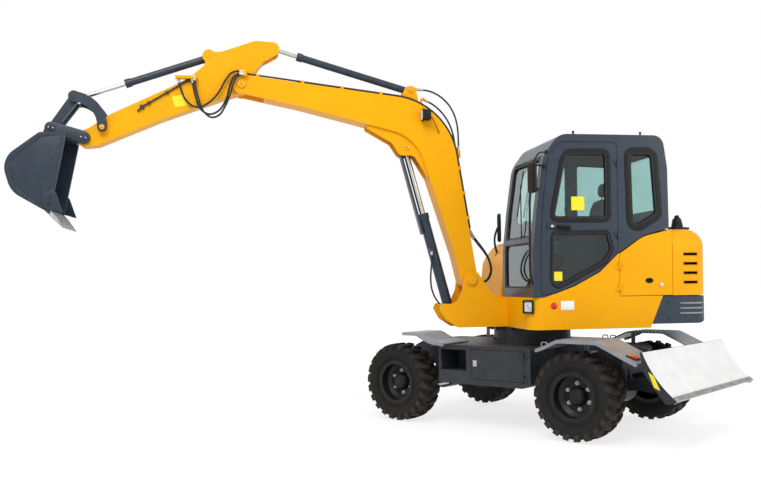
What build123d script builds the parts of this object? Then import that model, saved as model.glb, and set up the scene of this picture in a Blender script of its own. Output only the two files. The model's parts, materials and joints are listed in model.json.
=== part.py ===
"""Wheeled excavator of the six tonne class, as an assembly of separate pieces.

Lengths are in millimetres. Each piece is drawn about the slew axis, with x forward, y to the left and z up from
the ground. The upper structure keeps these axes. The undercarriage is drawn along the same axes and then turned
below the upper structure, as the machine stands.
"""

import os
from math import radians, tan

from build123d import *

# Place of the slew axis in the part's frame, whose origin is on the ground in the middle of the machine
SLEW_X = -1647
SLEW_Y = -174
STANCE = -50.4

# Running clearances
PIN_PLAY = 0.3
SIDE_PLAY = 5
PANEL_GAP = 5
RING_PLAY = 1

# Hinges of doors: knuckle and pin radius, leaf and half the height
KNUCKLE_R = 12
HINGE_PIN_R = 7
LEAF = 38
LEAF_THICK = 8
HINGE_HALF = 36

# Share of an edge that a rounded corner may take
EDGE_SHARE = 0.48

# Wheels and axles
WHEEL_R = 412
TYRE_WIDTH = 302
WHEEL_Y = 799
FRONT_AXLE_X = 1120
REAR_AXLE_X = -970
RIM_R = 210
KINGPIN_Y = 620
LUG_COUNT = 14
LUG_DEPTH = 24
LUG_WIDTH = 46
LUG_SLANT = 40

# Undercarriage
CHASSIS_HALF = 330
CHASSIS_REAR = -1176
CHASSIS_LOW = 566
CHASSIS_TOP = 832
BOX_OUTER = 850
BOX_REAR = -490
BOX_FRONT = 600
BOX_LOW = 440
BOX_WALL = 8
RECESS = (255, 570, 573, 783)
TOOL_DOOR = (-420, 200, 495, 797)
DOOR_THICK = 14
RING_R = 400
RING_WIDTH = 90
RING_FOOT = 890
RING_TOP = 998
FENDER_IN = 500
FENDER_OUT = 950
FENDER_THICK = 14

# Blade
BLADE_HALF = 950
BLADE_PIVOT = (-1150, 470)
BLADE_PIN = 28
BLADE_FOOT = (-1215, 742)
BLADE_EYE = (-1560, 620)

# Upper structure
DECK_LOW = 1000
DECK_TOP = 1310
DECK_FRONT = 320
BODY_HALF = 900
TAIL_R = 1712
TAIL_LOW = 1036
SHEET = 14
BONNET_TOP = 1968
BONNET_FRONT = -1132
PANEL_THICK = 45

# Cab
CAB_LEFT = 900
CAB_RIGHT = -70
CAB_WALL = 46
CAB_FLOOR = DECK_TOP
CAB_CORNER = 80
GLASS = 6
DOOR_REAR = -566

# Working arm: pins of the boom, arm, bucket and cylinders, as x and z
BOOM_FOOT = (700, 1490)
BOOM_TIP = (3012, 3465)
BUCKET_PIN = (4522, 2913)
GUIDE_PIN = (4344, 3010)
LINK_PIN = (4600, 3305)
BUCKET_LINK_PIN = (4821, 3003)
BOOM_CYL_FOOT = (890, 1133)
BOOM_CYL_EYE = (1350, 2860)
ARM_CYL_FOOT = (1290, 3448)
ARM_CYL_EYE = (2671, 3843)
BUCKET_CYL_FOOT = (3328, 3744)
BOOM_HALF = 125
ARM_HALF = 92
CHEEK_IN = 140
CHEEK_OUT = 172
PIN_R = 34
BUCKET_HALF = 320
BUCKET_SIDE = 14
EAR_IN = 100
EAR_OUT = 124
GUIDE_IN = 132
GUIDE_OUT = 152
EYE_HALF = 36
TEETH = 5

UPPER = Location((SLEW_X, SLEW_Y, 0))
UNDER = Location((SLEW_X, SLEW_Y, 0), (0, 0, STANCE))


def side(y):
    """Plane along the machine at distance y to the left, with x forward and its own y up."""
    return Plane.XZ.offset(-y)


def fitting_radii(table):
    """Radii of a table's corners, each no larger than its two edges have room for."""
    radii = []
    corners = [Vector(a, b) for a, b, r in table]
    for i, (a, b, r) in enumerate(table):
        back = corners[i - 1] - corners[i]
        ahead = corners[(i + 1) % len(corners)] - corners[i]
        room = EDGE_SHARE * min(back.length, ahead.length)
        radii.append(min(r, room * tan(radians(back.get_angle(ahead)) / 2)))
    return radii


def outline(plane, table):
    """Closed face on a plane through the corners of a table, each as two places and the radius there."""
    with BuildSketch(plane) as face:
        with BuildLine():
            FilletPolyline([(a, b) for a, b, r in table], radius=fitting_radii(table), close=True)
        make_face()
    return face.sketch


def slab(table, low_y, high_y, mode=Mode.ADD):
    """Side outline of a table, as thick as from low_y to high_y across the machine."""
    extrude(outline(side(high_y), table), amount=high_y - low_y, mode=mode)


def deck(table, low_z, high_z, mode=Mode.ADD):
    """Plan outline of a table, from one height to another."""
    extrude(outline(Plane.XY.offset(low_z), table), amount=high_z - low_z, mode=mode)


def block(x, y, z, mode=Mode.ADD):
    """Box between two x, two y and two z."""
    centre = ((x[0] + x[1]) / 2, (y[0] + y[1]) / 2, (z[0] + z[1]) / 2)
    with Locations(centre):
        Box(x[1] - x[0], y[1] - y[0], z[1] - z[0], mode=mode)


def bar(start, end, radius, mode=Mode.ADD):
    """Round bar from one point to another."""
    run = Vector(*end) - Vector(*start)
    with BuildSketch(Plane(origin=start, z_dir=run)) as disc:
        Circle(radius)
    extrude(disc.sketch, amount=run.length, mode=mode)


def pin(centre, radius, low_y, high_y, mode=Mode.ADD):
    """Round bar across the machine through a pin's x and z."""
    bar((centre[0], low_y, centre[1]), (centre[0], high_y, centre[1]), radius, mode)


def strap(start, end, start_r, end_r, low_y, high_y, mode=Mode.ADD):
    """Plate between two pins, at each as wide as the boss round it."""
    run = (Vector(*end) - Vector(*start)).normalized()
    across = Vector(-run.Y, run.X)
    pin(start, start_r, low_y, high_y, mode)
    pin(end, end_r, low_y, high_y, mode)
    slab(
        [
            (start[0] + across.X * start_r, start[1] + across.Y * start_r, 0),
            (end[0] + across.X * end_r, end[1] + across.Y * end_r, 0),
            (end[0] - across.X * end_r, end[1] - across.Y * end_r, 0),
            (start[0] - across.X * start_r, start[1] - across.Y * start_r, 0),
        ],
        low_y,
        high_y,
        mode,
    )


def turned(table, x, z, mode=Mode.ADD):
    """Profile of places across the machine, radii and corner radii, turned about an axle at x and z."""
    plane = Plane(origin=(x, 0, z), x_dir=(0, 1, 0), z_dir=(1, 0, 0))
    revolve(outline(plane, table), axis=Axis((x, 0, z), (0, 1, 0)), mode=mode)


def hinge_half(x, y, low_z, high_z, turn):
    """Leaf on a flank with its knuckle round the upright axis at x and y; turn is the leaf's way along x."""
    bar((x, y, low_z), (x, y, high_z), KNUCKLE_R)
    out = 1 if y > 0 else -1
    block(sorted((x, x + turn * LEAF)), sorted((y - out * KNUCKLE_R, y - out * (KNUCKLE_R - LEAF_THICK))), (low_z, high_z))


def fixed_hinge(x, y, z, turn):
    """Lower half of an upright hinge, with its pin."""
    hinge_half(x, y, z - HINGE_HALF, z, turn)
    bar((x, y, z - HINGE_HALF), (x, y, z + HINGE_HALF - 4), HINGE_PIN_R)


def moving_hinge(x, y, z, turn):
    """Upper half of an upright hinge, bored for the pin."""
    hinge_half(x, y, z + PIN_PLAY, z + HINGE_HALF, turn)
    bar((x, y, z), (x, y, z + HINGE_HALF), HINGE_PIN_R + PIN_PLAY, Mode.SUBTRACT)


def save(piece, name, place):
    """Stand a finished piece at its place in the part's frame and write it."""
    placed = piece.moved(place)
    placed.label = name
    export_step(placed, f"parts/{name}.step")


def mirrored(piece):
    """The piece's twin on the other side of the machine."""
    return mirror(piece, about=Plane.XZ)


os.makedirs("parts", exist_ok=True)


# Wheels: a tyre with two rows of slanting lugs on a deep dished rim
TYRE_IN = WHEEL_Y - TYRE_WIDTH / 2
TYRE_OUT = WHEEL_Y + TYRE_WIDTH / 2
CARCASS_R = WHEEL_R - LUG_DEPTH
BEAD_R = RIM_R + PIN_PLAY
LUG_TAPER = 0.7
CARCASS = [
    (TYRE_IN + 26, BEAD_R, 0),
    (TYRE_OUT - 26, BEAD_R, 0),
    (TYRE_OUT - 26, RIM_R + 24, 0),
    (TYRE_OUT, RIM_R + 100, 0),
    (TYRE_OUT - 14, CARCASS_R - 22, 0),
    (TYRE_OUT - 40, CARCASS_R, 0),
    (TYRE_IN + 40, CARCASS_R, 0),
    (TYRE_IN + 14, CARCASS_R - 22, 0),
    (TYRE_IN, RIM_R + 100, 0),
    (TYRE_IN + 26, RIM_R + 24, 0),
]


def lug(x, angle, turn):
    """Slanting lug of the outer (turn 1) or inner (turn -1) row, as a bar standing out of the carcass."""
    spoke = Plane(origin=(x, WHEEL_Y, WHEEL_R)).rotated((0, angle, 0))
    low = (4, -LUG_WIDTH / 2)
    high = (TYRE_WIDTH / 2 - 24, LUG_SLANT - LUG_WIDTH / 2)
    with BuildSketch(spoke.offset(-WHEEL_R)) as foot:
        with BuildLine():
            Polyline(
                (low[1], turn * low[0]),
                (high[1], turn * high[0]),
                (high[1] + LUG_WIDTH, turn * high[0]),
                (low[1] + LUG_WIDTH * LUG_TAPER, turn * low[0]),
                close=True,
            )
        make_face()
    extrude(foot.sketch, amount=LUG_DEPTH + 12)


def tyre_at(x):
    """Left tyre on the axle at x."""
    with BuildPart() as tyre:
        for i in range(LUG_COUNT):
            lug(x, i * 360 / LUG_COUNT, 1)
            lug(x, (i + 0.5) * 360 / LUG_COUNT, -1)
        turned(CARCASS, x, WHEEL_R)
    return tyre.part


def rim_at(x):
    """Left rim on the axle at x, with its dished disc and hub."""
    with BuildPart() as rim:
        turned(
            [
                (TYRE_IN + 20, RIM_R - 18, 0),
                (TYRE_OUT - 20, RIM_R - 18, 0),
                (TYRE_OUT - 20, RIM_R + 20, 0),
                (TYRE_OUT - 25.5, RIM_R + 20, 0),
                (TYRE_OUT - 25.5, RIM_R, 0),
                (TYRE_IN + 25.5, RIM_R, 0),
                (TYRE_IN + 25.5, RIM_R + 20, 0),
                (TYRE_IN + 20, RIM_R + 20, 0),
            ],
            x,
            WHEEL_R,
        )
        # Disc, dished inwards from the outer side
        turned(
            [
                (WHEEL_Y + 8, 0, 0),
                (WHEEL_Y + 8, 150, 0),
                (WHEEL_Y + 40, RIM_R - 10, 0),
                (WHEEL_Y + 26, RIM_R - 10, 0),
                (WHEEL_Y - 6, 155, 0),
                (WHEEL_Y - 6, 0, 0),
            ],
            x,
            WHEEL_R,
        )
        # Hub in front of the disc and drum behind it, bored for the spindle
        turned([(WHEEL_Y, 0, 0), (WHEEL_Y + 66, 0, 0), (WHEEL_Y + 66, 72, 8), (WHEEL_Y + 46, 86, 0), (WHEEL_Y, 90, 0)], x,
               WHEEL_R)
        turned([(KINGPIN_Y + 64, 0, 0), (WHEEL_Y, 0, 0), (WHEEL_Y, 125, 0), (KINGPIN_Y + 64, 125, 6)], x, WHEEL_R)
        pin((x, WHEEL_R), 40 + PIN_PLAY, KINGPIN_Y + 60, WHEEL_Y + 10, Mode.SUBTRACT)
    return rim.part


for name, axle_x in (("front", FRONT_AXLE_X), ("rear", REAR_AXLE_X)):
    tyre = tyre_at(axle_x)
    rim = rim_at(axle_x)
    save(tyre, f"tyre_{name}_left", UNDER)
    save(rim, f"rim_{name}_left", UNDER)
    save(mirrored(tyre), f"tyre_{name}_right", UNDER)
    save(mirrored(rim), f"rim_{name}_right", UNDER)


# Rear axle: a rigid beam with its differential and the spindles of the hubs
with BuildPart() as axle_rear:
    turned(
        [
            (-KINGPIN_Y - 63, 0, 0),
            (KINGPIN_Y + 63, 0, 0),
            (KINGPIN_Y + 63, 105, 10),
            (KINGPIN_Y + 20, 105, 0),
            (KINGPIN_Y - 5, 68, 0),
            (190, 78, 0),
            (120, 150, 40),
            (-120, 150, 40),
            (-190, 78, 0),
            (-KINGPIN_Y + 5, 68, 0),
            (-KINGPIN_Y - 20, 105, 0),
            (-KINGPIN_Y - 63, 105, 10),
        ],
        REAR_AXLE_X,
        WHEEL_R,
    )
    pin((REAR_AXLE_X, WHEEL_R), 40, -WHEEL_Y - 5, WHEEL_Y + 5)
    # Pads below the chassis
    for y in (-290, 290):
        block((REAR_AXLE_X - 75, REAR_AXLE_X + 75), (y - 40, y + 40), (WHEEL_R, CHASSIS_LOW))
save(axle_rear.part, "axle_rear", UNDER)

# Front axle: a beam with forked ends for the kingpins and the trunnion that it rocks on
FORK_HALF = 92
FRONT_BEAM = [
    (-KINGPIN_Y + 102, 0, 0),
    (KINGPIN_Y - 102, 0, 0),
    (KINGPIN_Y - 102, 70, 0),
    (190, 74, 0),
    (120, 140, 40),
    (-120, 140, 40),
    (-190, 74, 0),
    (-KINGPIN_Y + 102, 70, 0),
]
with BuildPart() as axle_front:
    turned(FRONT_BEAM, FRONT_AXLE_X, WHEEL_R)
    for turn in (1, -1):
        for low, high in ((WHEEL_R - FORK_HALF - 26, WHEEL_R - FORK_HALF), (WHEEL_R + FORK_HALF, WHEEL_R + FORK_HALF + 26)):
            with Locations((FRONT_AXLE_X, turn * KINGPIN_Y, (low + high) / 2)):
                Cylinder(56, high - low)
            reach = sorted((turn * (KINGPIN_Y - 135), turn * KINGPIN_Y))
            block((FRONT_AXLE_X - 50, FRONT_AXLE_X + 50), reach, (low, high))
        reach = sorted((turn * (KINGPIN_Y - 135), turn * (KINGPIN_Y - 102)))
        block((FRONT_AXLE_X - 50, FRONT_AXLE_X + 50), reach, (WHEEL_R - FORK_HALF - 26, WHEEL_R + FORK_HALF + 26))
    block((FRONT_AXLE_X - 110, FRONT_AXLE_X + 110), (-90, 90), (WHEEL_R, CHASSIS_LOW))
save(axle_front.part, "axle_front", UNDER)

# Knuckle: kingpin barrel between the fork's arms, spindle and steering lever
LEVER_X = FRONT_AXLE_X - 150
LEVER_Y = KINGPIN_Y - 45
LEVER_Z = WHEEL_R - 60
with BuildPart() as knuckle:
    with Locations((FRONT_AXLE_X, KINGPIN_Y, WHEEL_R)):
        Cylinder(52, 2 * FORK_HALF - 2 * PIN_PLAY)
    pin((FRONT_AXLE_X, WHEEL_R), 85, KINGPIN_Y, KINGPIN_Y + 63)
    pin((FRONT_AXLE_X, WHEEL_R), 40, KINGPIN_Y, WHEEL_Y + 5)
    block((LEVER_X, FRONT_AXLE_X), (LEVER_Y - 10, KINGPIN_Y + 20), (LEVER_Z - 14, LEVER_Z + 14))
    with Locations((LEVER_X, LEVER_Y + 5, LEVER_Z)):
        Cylinder(26, 28)
save(knuckle.part, "knuckle_left", UNDER)
save(mirrored(knuckle.part), "knuckle_right", UNDER)

# Steering cylinder behind the front axle, and the rod through it
STEER_HALF = 170
with BuildPart() as steer_barrel:
    bar((LEVER_X, -STEER_HALF, LEVER_Z), (LEVER_X, STEER_HALF, LEVER_Z), 38)
    bar((LEVER_X, -STEER_HALF, LEVER_Z), (LEVER_X, STEER_HALF, LEVER_Z), 20 + PIN_PLAY, Mode.SUBTRACT)
    # Feet on the axle's beam
    for y in (-150, 150):
        block((LEVER_X + 30, FRONT_AXLE_X - 40), (y - 12, y + 12), (LEVER_Z - 25, LEVER_Z + 25))
    turned(FRONT_BEAM, FRONT_AXLE_X, WHEEL_R, Mode.SUBTRACT)
save(steer_barrel.part, "steer_barrel", UNDER)
with BuildPart() as steer_rod:
    bar((LEVER_X, -LEVER_Y + 40, LEVER_Z), (LEVER_X, LEVER_Y - 40, LEVER_Z), 20)
save(steer_rod.part, "steer_rod", UNDER)


# Chassis: a welded beam that narrows over both axles, with the seat of the slew ring
CHASSIS = [
    (CHASSIS_REAR, CHASSIS_LOW, 0),
    (-720, CHASSIS_LOW, 40),
    (-600, 480, 40),
    (700, 480, 40),
    (820, CHASSIS_LOW, 40),
    (1260, CHASSIS_LOW, 30),
    (1330, 640, 30),
    (1330, 760, 40),
    (1180, CHASSIS_TOP, 60),
    (CHASSIS_REAR, CHASSIS_TOP, 60),
]
with BuildPart() as chassis:
    slab(CHASSIS, -CHASSIS_HALF, CHASSIS_HALF)
    with Locations((0, 0, (CHASSIS_TOP + 860) / 2)):
        Cylinder(RING_R + 20, 860 - CHASSIS_TOP)
    # Blade lugs at the rear end
    for y in (-300, -190, 190, 300):
        slab(
            [
                (BLADE_PIVOT[0] - 60, BLADE_PIVOT[1] - 50, 40),
                (BLADE_PIVOT[0] + 60, BLADE_PIVOT[1] - 50, 40),
                (BLADE_PIVOT[0] + 90, CHASSIS_LOW + 20, 0),
                (BLADE_PIVOT[0] - 40, CHASSIS_LOW + 60, 0),
            ],
            y - 15,
            y + 15,
        )
    # Ears of the blade's cylinder
    for y in (-55, 55):
        slab(
            [
                (BLADE_FOOT[0] - 48, BLADE_FOOT[1] - 48, 40),
                (CHASSIS_REAR + 10, BLADE_FOOT[1] - 70, 0),
                (CHASSIS_REAR + 10, BLADE_FOOT[1] + 70, 0),
                (BLADE_FOOT[0] - 48, BLADE_FOOT[1] + 48, 40),
            ],
            y - 12,
            y + 12,
        )
    pin(BLADE_FOOT, 20, -60, 60)
    for turn in (1, -1):
        reach = sorted((turn * 180, turn * 310))
        pin(BLADE_PIVOT, BLADE_PIN, reach[0], reach[1])
save(chassis.part, "chassis", UNDER)

# Slew ring on the chassis
with BuildPart() as slew_ring:
    with Locations((0, 0, (860 + RING_TOP) / 2)):
        Cylinder(RING_R, RING_TOP - 860)
        Cylinder(RING_R - 90, RING_TOP - 860, mode=Mode.SUBTRACT)
save(slew_ring.part, "slew_ring", UNDER)

# Side box: sheet walls round an open recess and a tool locker
BOX = [
    (BOX_REAR, BOX_LOW + 30, 20),
    (BOX_REAR + 90, BOX_LOW, 20),
    (BOX_FRONT, BOX_LOW, 12),
    (BOX_FRONT, CHASSIS_TOP, 12),
    (BOX_REAR, CHASSIS_TOP, 20),
]
BOX_IN = CHASSIS_HALF + PIN_PLAY
TOOL_HINGES = (545, 745)
with BuildPart() as side_box:
    slab(BOX, BOX_IN, BOX_OUTER)
    x0, x1, z0, z1 = RECESS
    block((x0, x1), (BOX_OUTER - 300, BOX_OUTER), (z0, z1), Mode.SUBTRACT)
    x0, x1, z0, z1 = TOOL_DOOR
    block((x0, x1), (BOX_OUTER - DOOR_THICK, BOX_OUTER), (z0, z1), Mode.SUBTRACT)
    block((x0 + 25, x1 - 25), (BOX_IN + 40, BOX_OUTER), (z0 + 25, z1 - 25), Mode.SUBTRACT)
    for z in TOOL_HINGES:
        fixed_hinge(x0 + PANEL_GAP / 2, BOX_OUTER + KNUCKLE_R, z, -1)
save(side_box.part, "side_box_left", UNDER)
save(mirrored(side_box.part), "side_box_right", UNDER)

# Tool locker's door, hinged at its rear edge, with a recessed latch
with BuildPart() as tool_door:
    x0, x1, z0, z1 = TOOL_DOOR
    block((x0 + PANEL_GAP, x1 - PANEL_GAP), (BOX_OUTER - DOOR_THICK + 0.5, BOX_OUTER), (z0 + PANEL_GAP, z1 - PANEL_GAP))
    block((x1 - 75, x1 - 20), (BOX_OUTER - 6, BOX_OUTER), (620, 690), Mode.SUBTRACT)
    pin((x1 - 45, 655), 9, BOX_OUTER - 8, BOX_OUTER - 1)
    for z in TOOL_HINGES:
        moving_hinge(x0 + PANEL_GAP / 2, BOX_OUTER + KNUCKLE_R, z, 1)
save(tool_door.part, "tool_door_left", UNDER)
save(mirrored(tool_door.part), "tool_door_right", UNDER)


# Fenders: folded plates with a deep outer lip, x and z of the top surface
REAR_FENDER = [(-600, 836, 20), (-690, 868, 60), (-830, 932, 80), (-1215, 932, 120), (-1490, 800, 60), (-1600, 752, 20)]
FRONT_FENDER = [(470, 850, 20), (640, 872, 60), (735, 908, 60), (820, 948, 60), (1004, 948, 10)]
LIP = 34


def fender(table, rise):
    """Left fender below a top line, with its lip along the outer edge."""
    under = [(x, z - FENDER_THICK, r) for x, z, r in reversed(table)]
    lip = [(x, z - LIP, r) for x, z, r in reversed(table)]
    with BuildPart() as piece:
        slab(table + under, FENDER_IN, FENDER_OUT)
        slab(table + lip, FENDER_OUT - 26, FENDER_OUT)
        # Stay down to the chassis or box
        x, low, high = rise
        block((x - 20, x + 20), (CHASSIS_HALF, FENDER_IN + 60), (low, low + 12))
        block((x - 20, x + 20), (FENDER_IN, FENDER_IN + 12), (low, high))
    return piece.part


rear_fender = fender(REAR_FENDER, (-900, 780, 925))
front_fender = fender(FRONT_FENDER, (900, 780, 940))
fender_twins = [mirrored(rear_fender), mirrored(front_fender)]
with BuildPart() as fenders:
    add(rear_fender)
    add(front_fender)
    add(fender_twins)
save(fenders.part, "fenders", UNDER)


# Blade: a curved mouldboard between end plates, on two arms
BLADE_TOP = (-1650, 850)
BLADE_MIDDLE = (-1768, 640)
BLADE_EDGE = (-1950, 455)
BOARD_THICK = 14
ARM_Y = (206, 284)
EYE_LUG_Y = (34, 56)
END_PLATE = [
    (-1650, 850, 0),
    (-1768, 640, 150),
    (-1950, 455, 0),
    (-1925, 430, 8),
    (-1850, 424, 8),
    (-1740, 560, 60),
    (-1655, 690, 60),
    (-1628, 850, 6),
]
BLADE_ARM = [
    (BLADE_PIVOT[0] + 52, BLADE_PIVOT[1] + 52, 50),
    (BLADE_PIVOT[0] + 52, BLADE_PIVOT[1] - 52, 50),
    (-1300, 430, 60),
    (-1900, 455, 0),
    (-1850, 600, 0),
    (-1780, 690, 0),
    (-1500, 560, 80),
]
with BuildPart() as blade:
    with BuildSketch(side(BLADE_HALF - 4)) as board:
        with BuildLine():
            ThreePointArc(BLADE_TOP, BLADE_MIDDLE, BLADE_EDGE)
            Line(BLADE_EDGE, (BLADE_EDGE[0] + 12, BLADE_EDGE[1] - 10))
            ThreePointArc(
                (BLADE_EDGE[0] + 12, BLADE_EDGE[1] - 10),
                (BLADE_MIDDLE[0] + 12, BLADE_MIDDLE[1] - 8),
                (BLADE_TOP[0] + BOARD_THICK, BLADE_TOP[1]),
            )
            Line((BLADE_TOP[0] + BOARD_THICK, BLADE_TOP[1]), BLADE_TOP)
        make_face()
    extrude(board.sketch, amount=2 * BLADE_HALF - 8)
    for turn in (1, -1):
        low, high = sorted((turn * (BLADE_HALF - 16), turn * BLADE_HALF))
        slab(END_PLATE, low, high)
        low, high = sorted((turn * ARM_Y[0], turn * ARM_Y[1]))
        slab(BLADE_ARM, low, high)
        pin(BLADE_PIVOT, BLADE_PIN + PIN_PLAY, low, high, Mode.SUBTRACT)
        # Lugs beside the rod's eye
        low, high = sorted((turn * EYE_LUG_Y[0], turn * EYE_LUG_Y[1]))
        slab(
            [
                (BLADE_EYE[0] + 40, BLADE_EYE[1] + 40, 36),
                (BLADE_EYE[0] + 40, BLADE_EYE[1] - 40, 36),
                (-1880, 470, 0),
                (-1780, 690, 0),
            ],
            low,
            high,
        )
    # Beam across the back of the board
    slab([(-1760, 680, 0), (-1900, 560, 0), (-1900, 500, 0), (-1740, 470, 20), (-1650, 570, 20)], -700, 700)
    # Nothing stands in front of the board's face
    with BuildSketch(side(BLADE_HALF + 1)) as ahead:
        with BuildLine():
            ThreePointArc(BLADE_TOP, BLADE_MIDDLE, BLADE_EDGE)
            Polyline(BLADE_EDGE, (-2100, BLADE_EDGE[1]), (-2100, BLADE_TOP[1]), BLADE_TOP)
        make_face()
    extrude(ahead.sketch, amount=2 * BLADE_HALF + 2, mode=Mode.SUBTRACT)
save(blade.part, "blade", UNDER)


def along(start, end, distance):
    """Point at a distance from a pin's x and z towards another's, with y between them."""
    run = Vector(end[0] - start[0], 0, end[1] - start[1])
    return Vector(start[0], 0, start[1]) + run.normalized() * distance


def cylinder_pair(foot, eye, barrel_r, rod_r, barrel_start, barrel_end, rod_start, eye_half, foot_pin, eye_r):
    """Barrel with its foot's eye and gland, and the rod in it with its own eye."""
    reach = (Vector(eye[0] - foot[0], 0, eye[1] - foot[1])).length
    with BuildPart() as barrel:
        pin(foot, eye_r, -eye_half, eye_half)
        bar(along(foot, eye, eye_r * 0.6), along(foot, eye, barrel_start + 20), eye_half - 4)
        bar(along(foot, eye, barrel_start), along(foot, eye, barrel_end - 40), barrel_r)
        bar(along(foot, eye, barrel_end - 60), along(foot, eye, barrel_end), barrel_r + 7)
        pin(foot, foot_pin + PIN_PLAY, -eye_half, eye_half, Mode.SUBTRACT)
        bar(along(foot, eye, eye_r + 12), along(foot, eye, barrel_end), rod_r + PIN_PLAY, Mode.SUBTRACT)
    with BuildPart() as rod:
        bar(along(foot, eye, rod_start), along(foot, eye, reach - eye_r * 0.6), rod_r)
        pin(eye, eye_r, -eye_half, eye_half)
    return barrel.part, rod.part


barrel, rod = cylinder_pair(BLADE_FOOT, BLADE_EYE, 40, 20, 44, 272, 56, 30, 20, 34)
save(barrel, "blade_barrel", UNDER)
save(rod, "blade_rod", UNDER)


# Upper structure in plan: straight flanks, a round tail about the slew axis and rounded front corners
def body_plan(height, radius, half, front, front_corner, tail_corner):
    """Plan face of the upper structure at a height."""
    with BuildSketch(Plane.XY.offset(height)) as plan:
        Circle(radius)
        with Locations(((front - TAIL_R - 100) / 2, 0)):
            Rectangle(front + TAIL_R + 100, 2 * half, mode=Mode.INTERSECT)
        fillet(plan.vertices().filter_by(lambda v: v.X > front - 1), front_corner)
        fillet(plan.vertices().filter_by(lambda v: v.X < -1000), tail_corner)
    return plan.sketch


# Platform: floor of the upper structure, ending at the counterweight's slanted face
CUT_FOOT = (-879, 964, 0)
CUT_HEAD = (-1025, DECK_TOP, 0)
deck_plan = body_plan(DECK_LOW, TAIL_R, BODY_HALF, DECK_FRONT, 130, 150)
with BuildPart() as platform:
    extrude(deck_plan, amount=DECK_TOP - DECK_LOW)
    slab([CUT_FOOT, (-2000, 964, 0), (-2000, DECK_TOP, 0), CUT_HEAD], -BODY_HALF - 1, BODY_HALF + 1, Mode.SUBTRACT)
    # Inner ring of the slew bearing, hung inside the fixed ring
    with Locations((0, 0, (RING_FOOT + DECK_LOW) / 2)):
        Cylinder(RING_R - RING_WIDTH - RING_PLAY, DECK_LOW - RING_FOOT)
save(platform.part, "platform", UPPER)

# Counterweight: the tail below the bonnet
tail_plan = body_plan(TAIL_LOW, TAIL_R, BODY_HALF, DECK_FRONT, 130, 150)
with BuildPart() as counterweight:
    extrude(tail_plan, amount=DECK_TOP - 8 - TAIL_LOW)
    slab([CUT_FOOT, (600, 964, 0), (600, DECK_TOP, 0), CUT_HEAD], -BODY_HALF - 1, BODY_HALF + 1, Mode.SUBTRACT)
    slab([(-1300, 1000, 0), (-1800, 1000, 0), (-1800, 1150, 0)], -BODY_HALF - 1, BODY_HALF + 1, Mode.SUBTRACT)
save(counterweight.part, "counterweight", UPPER)


# Boom bracket: two cheeks in front of the platform, a web between them and lugs for the boom's cylinder
CHEEK = [
    (DECK_FRONT, DECK_LOW + 2, 0),
    (850, DECK_LOW + 2, 60),
    (975, 1085, 60),
    (1040, 1200, 40),
    (1010, 1250, 20),
    (925, 1245, 30),
    (850, 1270, 40),
    (795, 1390, 60),
    (776, 1520, 60),
    (758, 1578, 60),
    (640, 1578, 60),
    (590, 1500, 80),
    (500, 1360, 100),
    (400, DECK_TOP, 60),
    (DECK_FRONT, DECK_TOP - 13, 0),
]
CYLINDER_LUG = [(770, 1010, 0), (900, 1050, 60), (960, 1110, 60), (960, 1195, 60), (880, 1205, 40), (770, 1230, 0)]
WEB_FRONT = 780
with BuildPart() as bracket:
    for low, high in ((CHEEK_IN, CHEEK_OUT), (-CHEEK_OUT, -CHEEK_IN)):
        slab(CHEEK, low, high)
    block((DECK_FRONT, WEB_FRONT), (-CHEEK_IN, CHEEK_IN), (DECK_LOW + 4, 1285))
    for low, high in ((42, 70), (-70, -42)):
        slab(CYLINDER_LUG, low, high)
    pin(BOOM_CYL_FOOT, 26, -CHEEK_IN, CHEEK_IN)
    pin(BOOM_FOOT, PIN_R, -CHEEK_OUT - 22, CHEEK_OUT + 22)
    pin(BOOM_FOOT, 62, CHEEK_OUT, CHEEK_OUT + 14)
    pin(BOOM_FOOT, 62, -CHEEK_OUT - 14, -CHEEK_OUT)
save(bracket.part, "boom_bracket", UPPER)


# Left cowl below the cab's curved sill, and the service door behind it
SILL = [
    (205, CAB_FLOOR, 0),
    (68, 1352, 120),
    (-124, 1420, 600),
    (-379, 1552, 600),
    (-576, 1736, 400),
    (-830, 1900, 400),
    (BONNET_FRONT, BONNET_TOP, 0),
]
DOOR_SPLIT = -578
SIDE_HINGES = (1400, 1610)
SKIN_IN = BODY_HALF - PANEL_THICK


def sill_height(x):
    """Height of the cab's sill at x, along the straight lines of its table."""
    for (x1, z1, r1), (x0, z0, r0) in zip(SILL, SILL[1:]):
        if x0 <= x <= x1:
            return z0 + (z1 - z0) * (x - x0) / (x1 - x0)


with BuildPart() as cowl:
    below_sill = [(x, z - PANEL_GAP, 0) for x, z, r in SILL[1:4]]
    slab(
        [(190, DECK_TOP, 0)] + below_sill + [(DOOR_SPLIT, sill_height(DOOR_SPLIT) - PANEL_GAP, 0), (DOOR_SPLIT, DECK_TOP, 0)],
        SKIN_IN,
        BODY_HALF,
    )
    for z in SIDE_HINGES:
        fixed_hinge(DOOR_SPLIT - PANEL_GAP / 2, BODY_HALF + KNUCKLE_R, z, 1)
save(cowl.part, "left_cowl", UPPER)

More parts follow.
